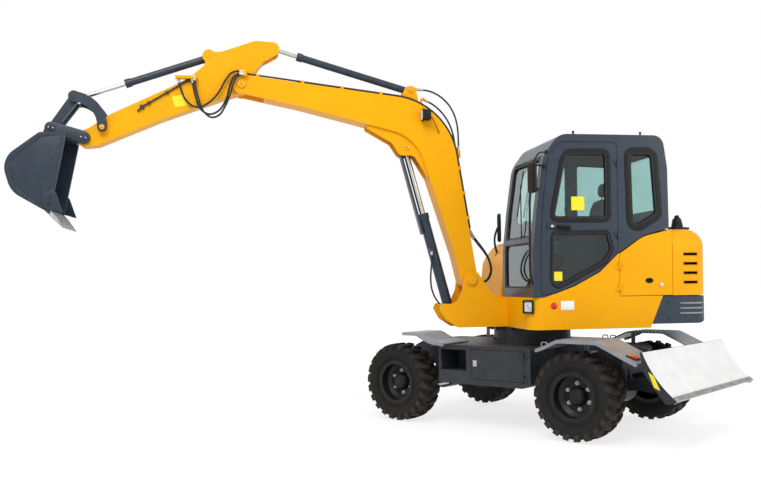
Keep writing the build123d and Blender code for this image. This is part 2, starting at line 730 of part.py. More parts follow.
SIDE_DOOR = [
    (BONNET_FRONT + PANEL_GAP, DECK_TOP + PANEL_GAP, 0),
    (BONNET_FRONT + PANEL_GAP, BONNET_TOP - 2 * PANEL_GAP, 0),
    (-830, 1900 - 2 * PANEL_GAP, 300),
    (DOOR_SPLIT - PANEL_GAP, sill_height(DOOR_SPLIT) - 3 * PANEL_GAP, 0),
    (DOOR_SPLIT - PANEL_GAP, DECK_TOP + PANEL_GAP, 0),
]
with BuildPart() as side_door:
    slab(SIDE_DOOR, SKIN_IN, BODY_HALF)
    # Oval grip and the lock
    with BuildSketch(side(BODY_HALF)) as grip:
        with Locations((-885, 1460)):
            SlotOverall(70, 40)
    extrude(grip.sketch, amount=16, mode=Mode.SUBTRACT)
    pin((-1010, 1415), 12, BODY_HALF - 4, BODY_HALF + 3)
    for z in SIDE_HINGES:
        moving_hinge(DOOR_SPLIT - PANEL_GAP / 2, BODY_HALF + KNUCKLE_R, z, -1)
save(side_door.part, "side_door", UPPER)


# Bonnet: rounded shell over the engine, with slots in both flanks
def bonnet_form(inset):
    """Body of the tail above the counterweight, drawn in by an inset."""
    plan = body_plan(DECK_TOP + 2, TAIL_R - 4 - inset, BODY_HALF - inset, DECK_FRONT, 130, 190 - inset)
    with BuildPart() as form:
        extrude(plan, amount=BONNET_TOP - inset - DECK_TOP - 2)
        block((BONNET_FRONT, 600), (-1000, 1000), (DECK_TOP - 10, BONNET_TOP + 10), Mode.SUBTRACT)
        crest = form.faces().sort_by(Axis.Z)[-1].edges()
        fillet(crest.filter_by(lambda e: e.center().X < BONNET_FRONT - 1), 180 - inset)
    return form.part


BONNET_AXIS = (BONNET_FRONT + PANEL_GAP / 2, BONNET_TOP + KNUCKLE_R)
BONNET_LEAF = (BONNET_TOP, BONNET_TOP + LEAF_THICK)
BONNET_HINGES = (-700, -220)
LOUVRES = 4
LOUVRE_FOOT = 1425
LOUVRE_PITCH = 92
bonnet_outside = bonnet_form(0)
bonnet_inside = bonnet_form(SHEET)
with BuildPart() as bonnet:
    add(bonnet_outside)
    add(bonnet_inside, mode=Mode.SUBTRACT)
    for i in range(LOUVRES):
        z = LOUVRE_FOOT + i * LOUVRE_PITCH
        block((-1396, -1246), (-BODY_HALF - 5, BODY_HALF + 5), (z, z + 26), Mode.SUBTRACT)
    for y in BONNET_HINGES:
        pin(BONNET_AXIS, KNUCKLE_R, y + PIN_PLAY, y + HINGE_HALF)
        block((BONNET_AXIS[0] - LEAF, BONNET_AXIS[0]), (y + PIN_PLAY, y + HINGE_HALF), BONNET_LEAF)
        pin(BONNET_AXIS, HINGE_PIN_R + PIN_PLAY, y, y + HINGE_HALF, Mode.SUBTRACT)
save(bonnet.part, "bonnet", UPPER)

# Engine: one plain block on the platform, reaching under the bonnet
with BuildPart() as engine:
    block((-1330, -700), (-90, 560), (DECK_TOP, 1800))
save(engine.part, "engine", UPPER)

# Right cover over the tanks, beside the boom's foot
COVER_IN = -100
RIGHT_COVER = [
    (BONNET_FRONT + PANEL_GAP, DECK_TOP, 0),
    (BONNET_FRONT + PANEL_GAP, BONNET_TOP, 0),
    (-300, 1940, 200),
    (120, 1900, 200),
    (270, 1700, 200),
    (DECK_FRONT - 6, DECK_TOP, 0),
]
with BuildPart() as right_cover:
    slab(RIGHT_COVER, -BODY_HALF, COVER_IN)
    for y in BONNET_HINGES:
        pin(BONNET_AXIS, KNUCKLE_R, y - HINGE_HALF, y)
        block((BONNET_AXIS[0], BONNET_AXIS[0] + LEAF), (y - HINGE_HALF, y), BONNET_LEAF)
        block((BONNET_FRONT + PANEL_GAP, BONNET_AXIS[0] + LEAF), (y - HINGE_HALF, y), (BONNET_TOP - 6, BONNET_TOP + 2))
        pin(BONNET_AXIS, HINGE_PIN_R, y - HINGE_HALF, y + HINGE_HALF - 4)
save(right_cover.part, "right_cover", UPPER)


# Cab: a hollow shell with its windows and its doorway cut through
CAB_PROFILE = [
    (-1096, BONNET_TOP + 2, 0),
    (-1087, 2560, 300),
    (-1040, 2876, 110),
    (20, 2878, 170),
    (180, 2660, 300),
    (248, 2175, 400),
    (290, 1780, 300),
    (292, CAB_FLOOR, 0),
    (-600, CAB_FLOOR, 0),
    (-600, 1730, 0),
    (-830, 1900, 300),
]
DOOR = [
    (DOOR_REAR, 1745, 20),
    (DOOR_REAR, 2800, 60),
    (20, 2800, 120),
    (128, 2655, 200),
    (190, 2175, 200),
    (213, 1780, 200),
    (213, 1330, 30),
    (68, 1360, 60),
    (-124, 1426, 400),
    (-379, 1558, 400),
]
DOOR_UPPER = [(-458, 2698, 40), (-42, 2693, 90), (88, 2070, 40), (-458, 2069, 40)]
DOOR_LOWER = [(-467, 1934, 40), (90, 1927, 40), (107, 1487, 40), (68, 1391, 60), (-431, 1644, 120), (-505, 1760, 60)]
QUARTER = [(-694, 2700, 40), (-932, 2703, 60), (-975, 2107, 40), (-713, 1952, 60)]
RIGHT_FRONT = [(-430, 2720, 50), (10, 2720, 120), (110, 2500, 200), (150, 2050, 50), (-430, 2050, 50)]
RIGHT_REAR = [(-980, 2700, 60), (-520, 2720, 50), (-520, 2050, 50), (-1000, 2080, 50)]
PANE_DEPTH = 20
CAB_HINGES = (1900, 2600)


def cab_form(inset):
    """Closed body of the cab, drawn in by an inset."""
    face = outline(side(CAB_LEFT - inset), CAB_PROFILE)
    if inset:
        face = offset(face, amount=-inset, kind=Kind.INTERSECTION)
    return extrude(face, amount=CAB_LEFT - CAB_RIGHT - 2 * inset)


cab_walls = cab_form(0) - cab_form(CAB_WALL)
pane_layer = cab_form(PANE_DEPTH) - cab_form(PANE_DEPTH + GLASS)
with BuildPart() as cab_windows:
    slab(QUARTER, CAB_LEFT - CAB_WALL - 5, CAB_LEFT + 5)
    slab(RIGHT_FRONT, CAB_RIGHT - 5, CAB_RIGHT + CAB_WALL + 5)
    slab(RIGHT_REAR, CAB_RIGHT - 5, CAB_RIGHT + CAB_WALL + 5)
    block((-1140, -1000), (30, 800), (2150, 2720))
    block((60, 400), (10, 810), (1895, 2680))
    block((150, 400), (10, 810), (1400, 1845))
with BuildPart() as cab:
    add(cab_walls)
    add(cab_windows.part, mode=Mode.SUBTRACT)
    # Left wall below the sill, where the cowl and the side door stand
    slab(
        [(x, z, 0) for x, z, r in SILL] + [(BONNET_FRONT, CAB_FLOOR - 5, 0), (205, CAB_FLOOR - 5, 0)],
        SKIN_IN - PANEL_GAP,
        CAB_LEFT + 1,
        Mode.SUBTRACT,
    )
    extrude(offset(outline(side(CAB_LEFT + 1), DOOR), amount=PANEL_GAP), amount=CAB_WALL + 6, mode=Mode.SUBTRACT)
    for z in CAB_HINGES:
        fixed_hinge(DOOR_REAR - PANEL_GAP / 2, CAB_LEFT + KNUCKLE_R, z, -1)
save(cab.part, "cab", UPPER)
save(pane_layer & cab_windows.part, "cab_glass", UPPER)

with BuildPart() as cab_door:
    slab(DOOR, CAB_LEFT - CAB_WALL, CAB_LEFT)
    slab(DOOR_UPPER, CAB_LEFT - CAB_WALL, CAB_LEFT, Mode.SUBTRACT)
    slab(DOOR_LOWER, CAB_LEFT - CAB_WALL, CAB_LEFT, Mode.SUBTRACT)
    block((60, 150), (CAB_LEFT, CAB_LEFT + 14), (1972, 2010))
    for z in CAB_HINGES:
        moving_hinge(DOOR_REAR - PANEL_GAP / 2, CAB_LEFT + KNUCKLE_R, z, 1)
save(cab_door.part, "cab_door", UPPER)
with BuildPart() as door_glass:
    slab(DOOR_UPPER, CAB_LEFT - PANE_DEPTH - GLASS, CAB_LEFT - PANE_DEPTH)
    slab(DOOR_LOWER, CAB_LEFT - PANE_DEPTH - GLASS, CAB_LEFT - PANE_DEPTH)
save(door_glass.part, "door_glass", UPPER)

# Seat on a pedestal that stands on the cab's floor
FLOOR_TOP = CAB_FLOOR + CAB_WALL
with BuildPart() as seat:
    block((-500, -120), (260, 590), (FLOOR_TOP, 1700))
    block((-545, -50), (190, 660), (1700, 1850))
    block((-640, -520), (200, 650), (1840, 2480))
save(seat.part, "seat", UPPER)

# Controls: consoles with levers beside the seat, and the steering column in front
with BuildPart() as controls:
    for low, high in ((60, 150), (690, 780)):
        block((-500, -60), (low, high), (FLOOR_TOP, 1980))
        middle = (low + high) / 2
        bar((-130, middle, 1975), (-120, middle, 2130), 14)
        bar((-120, middle, 2110), (-112, middle, 2200), 26)
    block((55, 145), (380, 470), (FLOOR_TOP, FLOOR_TOP + 14))
    bar((100, 425, FLOOR_TOP + 8), (40, 425, 2010), 34)
    bar((45, 425, 1985), (38, 425, 2030), 170)
save(controls.part, "controls", UPPER)

# Mirrors on the cab's left front pillar and on the right cover
with BuildPart() as mirrors:
    block((156, 186), (CAB_LEFT, CAB_LEFT + 10), (2540, 2586))
    bar((171, CAB_LEFT + 9.5, 2563), (300, 990, 2563), 9)
    bar((300, 990, 2570), (325, 990, 2300), 10)
    block((305, 345), (925, 1065), (2300, 2585))
    bar((200, -550, 1780), (330, -640, 2380), 12)
    block((310, 350), (-730, -580), (2200, 2480))
    add(right_cover.part, mode=Mode.SUBTRACT)
save(mirrors.part, "mirrors", UPPER)


# Boom: bent box with the pockets of the cylinders' eyes and a fork at its tip
BOOM = [
    (612, 1440, 60),
    (917, 3305, 700),
    (3109, 3572, 90),
    (3109, 3392, 90),
    (2435, 3254, 900),
    (1254, 2961, 440),
    (860, 1750, 300),
    (785, 1440, 60),
]
BEND_LUG = [
    (1760, 3090, 0),
    (1755, 3049, 0),
    (1500, 2905, 80),
    (1415, 2775, 55),
    (1270, 2775, 50),
    (1130, 2550, 0),
    (1100, 2700, 0),
    (1300, 3050, 0),
]
FOOT_EAR = [(1200, 3270, 0), (1240, 3494, 46), (1338, 3494, 46), (1420, 3330, 0)]
EYE_POCKET = 66
FORK_IN = 100
with BuildPart() as boom:
    slab(BOOM, -BOOM_HALF, BOOM_HALF)
    pin(BOOM_FOOT, 92, -BOOM_HALF, BOOM_HALF)
    pin(BOOM_TIP, 97, -BOOM_HALF, BOOM_HALF)
    for low, high in ((68, 98), (-98, -68)):
        slab(BEND_LUG, low, high)
    for low, high in ((42, 66), (-66, -42)):
        slab(FOOT_EAR, low, high)
    pin(BOOM_CYL_EYE, 275, -EYE_POCKET, EYE_POCKET, Mode.SUBTRACT)
    pin(BOOM_TIP, 260, -FORK_IN, FORK_IN, Mode.SUBTRACT)
    pin(BOOM_TIP, PIN_R, -BOOM_HALF - 8, BOOM_HALF + 8)
    pin(BOOM_FOOT, PIN_R + PIN_PLAY, -BOOM_HALF, BOOM_HALF, Mode.SUBTRACT)
    pin(ARM_CYL_FOOT, 24, -66, 66)
save(boom.part, "boom", UPPER)

barrel, rod = cylinder_pair(BOOM_CYL_FOOT, BOOM_CYL_EYE, 52, 30, 104, 1087, 760, 36, 26, 56)
save(barrel, "boom_barrel", UPPER)
save(rod, "boom_rod", UPPER)

# Arm: tapering box with a high head for its own cylinder and the foot of the bucket's
ARM = [
    (4585, 2962, 55),
    (4463, 3018, 0),
    (4275, 3147, 300),
    (3704, 3422, 300),
    (3511, 3525, 300),
    (3370, 3650, 60),
    (3330, 3790, 40),
    (3217, 3780, 200),
    (2872, 3905, 60),
    (2640, 3893, 60),
    (2632, 3790, 60),
    (2806, 3692, 100),
    (2866, 3611, 0),
    (3010, 3385, 120),
    (3174, 3335, 0),
    (3803, 3101, 0),
    (4400, 2844, 0),
    (4580, 2825, 60),
]
with BuildPart() as arm:
    slab(ARM, -ARM_HALF, ARM_HALF)
    pin(BOOM_TIP, 84, -ARM_HALF, ARM_HALF)
    pin(BUCKET_CYL_FOOT, 62, -ARM_HALF, ARM_HALF)
    pin(ARM_CYL_EYE, 185, -55, 55, Mode.SUBTRACT)
    pin(BUCKET_CYL_FOOT, 75, -45, 45, Mode.SUBTRACT)
    pin(BUCKET_CYL_FOOT, 24, -ARM_HALF - 6, ARM_HALF + 6)
    pin(GUIDE_PIN, 45, -GUIDE_IN + 2, GUIDE_IN - 2)
    pin(GUIDE_PIN, 26, -GUIDE_OUT - 8, GUIDE_OUT + 8)
    pin(BOOM_TIP, PIN_R + PIN_PLAY, -ARM_HALF, ARM_HALF, Mode.SUBTRACT)
    pin(BUCKET_PIN, PIN_R + PIN_PLAY, -ARM_HALF, ARM_HALF, Mode.SUBTRACT)
save(arm.part, "arm", UPPER)

barrel, rod = cylinder_pair(ARM_CYL_FOOT, ARM_CYL_EYE, 36, 22, 60, 1210, 250, 38, 24, 45)
save(barrel, "arm_barrel", UPPER)
save(rod, "arm_rod", UPPER)
barrel, rod = cylinder_pair(BUCKET_CYL_FOOT, LINK_PIN, 36, 20, 60, 859, 400, 38, 24, 45)
save(barrel, "bucket_barrel", UPPER)
save(rod, "bucket_rod", UPPER)

# Links of the bucket: curved guide plates outside, a short strap inside
GUIDE_MIDDLE = (4412, 3210)
LINK_R = 26
guide_face = SlotArc(ThreePointArc(GUIDE_PIN, GUIDE_MIDDLE, LINK_PIN), 92)
with BuildPart() as guide_link:
    for turn in (1, -1):
        low, high = sorted((turn * GUIDE_IN, turn * GUIDE_OUT))
        extrude(side(high) * guide_face, amount=high - low)
        pin(LINK_PIN, 54, low, high)
        pin(GUIDE_PIN, LINK_R + PIN_PLAY, low, high, Mode.SUBTRACT)
        low, high = sorted((turn * 58, turn * (GUIDE_OUT + 6)))
        pin(LINK_PIN, LINK_R, low, high)
save(guide_link.part, "guide_link", UPPER)

with BuildPart() as bucket_link:
    for low, high in ((62, 95), (-95, -62)):
        strap(LINK_PIN, BUCKET_LINK_PIN, 46, 38, low, high)
        pin(LINK_PIN, LINK_R + PIN_PLAY, low, high, Mode.SUBTRACT)
    pin(BUCKET_LINK_PIN, 38, -EAR_IN + 3, EAR_IN - 3)
save(bucket_link.part, "bucket_link", UPPER)

# Bucket: a curved shell with ears above it
BUCKET = [(4643, 2912, 0), (4888, 2914, 60), (5409, 2709, 262), (4800, 2110, 0)]
BUCKET_HOLLOW = [(4600, 2900, 0), (4883, 2902, 50), (5392, 2702, 250), (4777, 2105, 0)]
EAR = [
    (4505, 2976, 0),
    (4800, 3060, 0),
    (4885, 2995, 0),
    (4900, 2905, 0),
    (4640, 2905, 0),
    (4522, 2848, 0),
]
CUTTER = [(4855, 2330, 0), (4748, 2383, 20), (4704, 2365, 10), (4670, 2168, 0), (4768, 2205, 0), (4830, 2230, 0)]
LIP_PLACE = Plane(origin=(4800, 0, 2110), x_dir=(-0.7214, 0, -0.6925), z_dir=(0, 1, 0))
with BuildPart() as bucket:
    slab(BUCKET, -BUCKET_HALF, BUCKET_HALF)
    slab(BUCKET_HOLLOW, -BUCKET_HALF + BUCKET_SIDE, BUCKET_HALF - BUCKET_SIDE, Mode.SUBTRACT)
    for turn in (1, -1):
        low, high = sorted((turn * EAR_IN, turn * EAR_OUT))
        slab(EAR, low, high)
        pin(BUCKET_PIN, 65, low, high)
        pin(BUCKET_LINK_PIN, 60, low, high)
        low, high = sorted((turn * BUCKET_HALF, turn * (BUCKET_HALF + BUCKET_SIDE)))
        slab(CUTTER, low, high)
    pin(BUCKET_PIN, PIN_R, -EAR_OUT - 4, EAR_OUT + 4)
save(bucket.part, "bucket", UPPER)

TOOTH = [(0, -12, 0), (130, 4, 4), (130, 10, 4), (0, 30, 0)]
TOOTH_WIDTH = 60
TOOTH_SPAN = 285
with BuildPart() as teeth:
    for i in range(TEETH):
        y = -TOOTH_SPAN + 2 * TOOTH_SPAN * i / (TEETH - 1)
        start = LIP_PLACE.offset(y - TOOTH_WIDTH / 2)
        extrude(outline(start, TOOTH), amount=TOOTH_WIDTH)
save(teeth.part, "bucket_teeth", UPPER)
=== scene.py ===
# %% [markdown]
# # Wheeled excavator
# The imported CAD model is the fixed frame: every panel, pin and wheel is already in place. This file adds
# the finishes, the seals, fastenings, lamps, hoses and soft parts, and the light, in the same frame as the
# CAD.

# %% Frame
import json
import math

import bmesh
import bpy
from mathutils import Matrix, Vector


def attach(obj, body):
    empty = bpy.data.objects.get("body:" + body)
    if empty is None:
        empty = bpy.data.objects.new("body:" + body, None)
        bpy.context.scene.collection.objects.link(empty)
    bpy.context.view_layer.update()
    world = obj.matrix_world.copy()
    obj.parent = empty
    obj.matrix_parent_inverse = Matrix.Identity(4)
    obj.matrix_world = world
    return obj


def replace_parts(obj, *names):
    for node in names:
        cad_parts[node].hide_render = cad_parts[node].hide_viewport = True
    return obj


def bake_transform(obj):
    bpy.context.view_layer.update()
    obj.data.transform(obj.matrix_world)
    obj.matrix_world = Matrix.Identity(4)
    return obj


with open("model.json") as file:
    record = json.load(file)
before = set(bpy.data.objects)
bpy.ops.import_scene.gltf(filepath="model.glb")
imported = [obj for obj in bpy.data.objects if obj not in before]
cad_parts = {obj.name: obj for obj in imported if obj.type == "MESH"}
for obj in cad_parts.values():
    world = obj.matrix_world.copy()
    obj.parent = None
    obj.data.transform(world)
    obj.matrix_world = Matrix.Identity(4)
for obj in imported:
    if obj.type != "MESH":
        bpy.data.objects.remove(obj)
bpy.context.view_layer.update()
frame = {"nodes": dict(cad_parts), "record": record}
cad = frame["nodes"]
scene = bpy.context.scene

# %% [markdown]
# ## Two ways of saying where
# The machine is easiest to measure in its own terms. The upper structure looks along +X and turns about
# the slew axis, while the undercarriage stands turned by the slew angle. Each matrix takes a mesh drawn
# in millimetres about the slew axis to its place in the frame, so a piece is drawn where it belongs.

# %% Places
SLEW = Vector((-1.647, -0.174, 0.0))
STANCE = math.radians(-50.4)
UPPER = Matrix.Translation(SLEW) @ Matrix.Scale(0.001, 4)
LOWER = Matrix.Translation(SLEW) @ Matrix.Rotation(STANCE, 4, "Z") @ Matrix.Scale(0.001, 4)
print("slew axis at", tuple(SLEW), "stance", round(math.degrees(STANCE), 1), "degrees")

# %% [markdown]
# ## Camera
# The photograph was taken from the operator's left, a little below the cab's middle and level, with the
# film shifted down. A camera in Blender has the same shift, so verticals stay upright.

# %% Camera
EYE = UPPER @ Vector((3026, 8699, 1487))
YAW, PITCH, ROLL = (math.radians(a) for a in (-9.17, 0.15, -0.78))
FOCAL_PIXELS = 854.5
IMAGE_WIDTH, IMAGE_HEIGHT = 761, 480
HORIZON_PIXEL = 279.1
FILM_WIDTH = 36

ahead = Vector((math.sin(YAW), -math.cos(YAW), 0))
right = Vector((-math.cos(YAW), -math.sin(YAW), 0))
look = ahead * math.cos(PITCH) + Vector((0, 0, 1)) * math.sin(PITCH)
rise = Vector((0, 0, 1)) * math.cos(PITCH) - ahead * math.sin(PITCH)
camera = bpy.data.objects.new("camera", bpy.data.cameras.new("camera"))
scene.collection.objects.link(camera)
axes = Matrix((
    right * math.cos(ROLL) + rise * math.sin(ROLL),
    rise * math.cos(ROLL) - right * math.sin(ROLL),
    -look,
)).transposed()
camera.matrix_world = Matrix.Translation(EYE) @ axes.to_4x4()
camera.data.sensor_width = FILM_WIDTH
camera.data.lens = FOCAL_PIXELS / IMAGE_WIDTH * FILM_WIDTH
camera.data.shift_y = (HORIZON_PIXEL - IMAGE_HEIGHT / 2) / IMAGE_WIDTH
camera.data.clip_end = 200
scene.camera = camera
print("lens", round(camera.data.lens, 2), "mm, shift", round(camera.data.shift_y, 4))

# %% [markdown]
# ## Shader bench
# A few short functions wire up nodes, so each finish reads as a recipe. Sockets and plain numbers are
# both taken, and a number is written on the node's own socket.

# %% Shader bench


def wire(tree, socket, value):
    """Value or socket put on an input."""
    if isinstance(value, (int, float, tuple)):
        socket.default_value = value
    elif value is not None:
        tree.links.new(value, socket)


def sums(tree, kind, first, second=None, clamp=False):
    """Math node on sockets or numbers."""
    node = tree.nodes.new("ShaderNodeMath")
    node.operation = kind
    node.use_clamp = clamp
    wire(tree, node.inputs[0], first)
    wire(tree, node.inputs[1], second)
    return node.outputs[0]


def noise(tree, vector, scale, detail, roughness=0.55):
    """Noise texture with its scale from a socket or a number."""
    node = tree.nodes.new("ShaderNodeTexNoise")
    tree.links.new(vector, node.inputs["Vector"])
    wire(tree, node.inputs["Scale"], scale)
    node.inputs["Detail"].default_value = detail
    node.inputs["Roughness"].default_value = roughness
    return node.outputs["Fac"]


def mix_colour(tree, factor, first, second):
    """Colour mix of two sockets or colours."""
    node = tree.nodes.new("ShaderNodeMix")
    node.data_type = "RGBA"
    node.clamp_factor = True
    for index, value in ((0, factor), (6, first), (7, second)):
        wire(tree, node.inputs[index], value)
    return node.outputs[2]


# %% More of the shader bench
def stretch(tree, value, low, high):
    """Value stretched so that low becomes 0 and high becomes 1."""
    node = tree.nodes.new("ShaderNodeMapRange")
    tree.links.new(value, node.inputs["Value"])
    node.inputs["From Min"].default_value = low
    node.inputs["From Max"].default_value = high
    return node.outputs["Result"]


def mix_shader(tree, factor, first, second):
    """Mix of two shaders by a socket or a number."""
    node = tree.nodes.new("ShaderNodeMixShader")
    for index, value in enumerate((factor, first, second)):
        wire(tree, node.inputs[index], value)
    return node.outputs[0]


def seen_directly(tree):
    """1 for rays that show the backdrop: to the camera, off a gloss or through glass."""
    path = tree.nodes.new("ShaderNodeLightPath")
    seen = path.outputs["Is Camera Ray"]
    for ray in ("Is Glossy Ray", "Is Transmission Ray"):
        seen = sums(tree, "MAXIMUM", seen, path.outputs[ray])
    return seen


def new_material(name):
    """Material with an empty Principled shader, its tree and the shader."""
    material = bpy.data.materials.new(name)
    material.use_nodes = True
    return material, material.node_tree, material.node_tree.nodes["Principled BSDF"]


# %% [markdown]
# ## Light
# A studio for a machine this size is a white cove with large soft lamps overhead. The world gives the
# even part of that light and broad lamps give the shadows their direction. The camera, mirrors and glass
# see the cove as plain white.

# %% Cove
scene.view_settings.view_transform = "Standard"
scene.world = bpy.data.worlds.new("cove")
scene.world.use_nodes = True
sky = scene.world.node_tree
sky.nodes.clear()


def backdrop(colour, strength):
    """Background shader of a colour and a strength."""
    node = sky.nodes.new("ShaderNodeBackground")
    node.inputs["Color"].default_value = colour
    node.inputs["Strength"].default_value = strength
    return node.outputs[0]


sky_light = backdrop((0.95, 0.97, 1.0, 1), 0.62)
sky_seen = backdrop((1, 1, 1, 1), 1.0)
sky_out = sky.nodes.new("ShaderNodeOutputWorld")
sky.links.new(mix_shader(sky, seen_directly(sky), sky_light, sky_seen), sky_out.inputs["Surface"])


# %% Lamps
def soft_lamp(name, place, towards, size, power):
    """Large square lamp at a place, turned towards a point."""
    lamp = bpy.data.objects.new(name, bpy.data.lights.new(name, "AREA"))
    scene.collection.objects.link(lamp)
    lamp.data.shape = "SQUARE"
    lamp.data.size = size
    lamp.data.energy = power
    lamp.location = place
    lamp.rotation_mode = "QUATERNION"
    lamp.rotation_quaternion = (Vector(towards) - Vector(place)).to_track_quat("-Z", "Y")


soft_lamp("key", (3.5, 7.5, 9.5), (-0.5, 0, 1.2), 6.0, 730)
soft_lamp("fill", (-8.0, 6.0, 4.0), (-1.0, 0, 1.2), 5.0, 220)

# %% [markdown]
# ## A finish that has been outdoors
# Every painted or cast surface of a working machine shares the same story: its colour is not quite even,
# dust settles low down, fine grain breaks up the gloss and edges are rubbed lighter. One node group tells
# that story, and each material places it with its own numbers. A Bevel node finds the edges: where its
# softened normal leaves the true one, the surface is close to a corner. The same softened normal gives
# the sheet metal its rolled edge in the light.

# %% Field finish group
COLOURS = ("Clean", "Faded", "Dust", "Rubbed")
NUMBERS = (
    "Fading", "Dustiness", "Dust Height", "Rubbing",
    "Patch Scale", "Grain Scale", "Gloss", "Gloss Spread",
)
RESULTS = {"Colour": "Color", "Roughness": "Float", "Height": "Float", "Normal": "Vector"}
EDGE_REACH = 0.004
field = bpy.data.node_groups.new("field_finish", "ShaderNodeTree")
for label in COLOURS + NUMBERS:
    kind = "NodeSocketColor" if label in COLOURS else "NodeSocketFloat"
    field.interface.new_socket(label, in_out="INPUT", socket_type=kind)
for label, kind in RESULTS.items():
    field.interface.new_socket(label, in_out="OUTPUT", socket_type="NodeSocket" + kind)
given = field.nodes.new("NodeGroupInput").outputs
result = field.nodes.new("NodeGroupOutput").inputs
where = field.nodes.new("ShaderNodeTexCoord").outputs["Object"]
patches = noise(field, where, given["Patch Scale"], 4)
grain = noise(field, where, given["Grain Scale"], 3, 0.6)
blotches = noise(field, where, 11.0, 6, 0.62)
fading = sums(field, "MULTIPLY", stretch(field, patches, 0.35, 0.7), given["Fading"])
faded = mix_colour(field, fading, given["Clean"], given["Faded"])
print(len(field.nodes), "nodes so far")

# %% Dust and edges of the group
split = field.nodes.new("ShaderNodeSeparateXYZ")
field.links.new(where, split.inputs[0])
share = sums(field, "DIVIDE", split.outputs["Z"], given["Dust Height"])
low_down = sums(field, "SUBTRACT", 1.0, share, True)
settled = sums(field, "ADD", sums(field, "MULTIPLY", low_down, 0.8), stretch(field, blotches, 0.5, 0.75))
dust = sums(field, "MULTIPLY", settled, given["Dustiness"], True)
dusty = mix_colour(field, dust, faded, given["Dust"])

rolled = field.nodes.new("ShaderNodeBevel")
rolled.samples = 4
rolled.inputs["Radius"].default_value = EDGE_REACH
agreement = field.nodes.new("ShaderNodeVectorMath")
agreement.operation = "DOT_PRODUCT"
field.links.new(rolled.outputs["Normal"], agreement.inputs[0])
field.links.new(field.nodes.new("ShaderNodeNewGeometry").outputs["Normal"], agreement.inputs[1])
edge = stretch(field, sums(field, "SUBTRACT", 1.0, agreement.outputs["Value"]), 0.02, 0.30)
worn = sums(field, "MULTIPLY", edge, stretch(field, blotches, 0.42, 0.62))
rubbed = sums(field, "MULTIPLY", worn, given["Rubbing"], True)
uneven = sums(field, "ADD", stretch(field, blotches, 0.3, 0.8), dust)
dull = sums(field, "MULTIPLY", uneven, given["Gloss Spread"])
field.links.new(mix_colour(field, rubbed, dusty, given["Rubbed"]), result["Colour"])
field.links.new(sums(field, "ADD", given["Gloss"], dull, True), result["Roughness"])
field.links.new(grain, result["Height"])
field.links.new(rolled.outputs["Normal"], result["Normal"])
print(len(field.nodes), "nodes in the field finish")

# %% [markdown]
# ## Materials
# A table of finishes is read like a paint chart. Metallic, coat and bump strength are the same all over
# a surface, so they are set on the shader itself.

# %% Painting


def relieve(tree, shader, height, strength, depth, normal=None):
    """Bump of a height put on a shader's normal."""
    relief = tree.nodes.new("ShaderNodeBump")
    relief.inputs["Strength"].default_value = strength
    relief.inputs["Distance"].default_value = depth
    wire(tree, relief.inputs["Height"], height)
    wire(tree, relief.inputs["Normal"], normal)
    tree.links.new(relief.outputs["Normal"], shader.inputs["Normal"])


def field_paint(name, colours, numbers, metallic=0.0, coat=0.0, bump=0.1, depth=0.0005, specular=0.3):
    """Material that places the field finish with its own values."""
    material, tree, shader = new_material(name)
    group = tree.nodes.new("ShaderNodeGroup")
    group.node_tree = field
    for label, colour in zip(COLOURS, colours):
        group.inputs[label].default_value = (*colour, 1)
    for label, value in zip(NUMBERS, numbers):
        group.inputs[label].default_value = value
    tree.links.new(group.outputs["Colour"], shader.inputs["Base Color"])
    tree.links.new(group.outputs["Roughness"], shader.inputs["Roughness"])
    relieve(tree, shader, group.outputs["Height"], bump, depth, group.outputs["Normal"])
    shader.inputs["Metallic"].default_value = metallic
    shader.inputs["Specular IOR Level"].default_value = specular
    shader.inputs["Coat Weight"].default_value = coat
    shader.inputs["Coat Roughness"].default_value = 0.12
    return material


# %% Paint chart
PALE_DUST = (0.42, 0.40, 0.36)
BROWN_DUST = (0.16, 0.13, 0.11)
GREY_RUB = (0.30, 0.31, 0.32)
YELLOW = (0.90, 0.405, 0.003)
NAVY = (0.021, 0.034, 0.052)
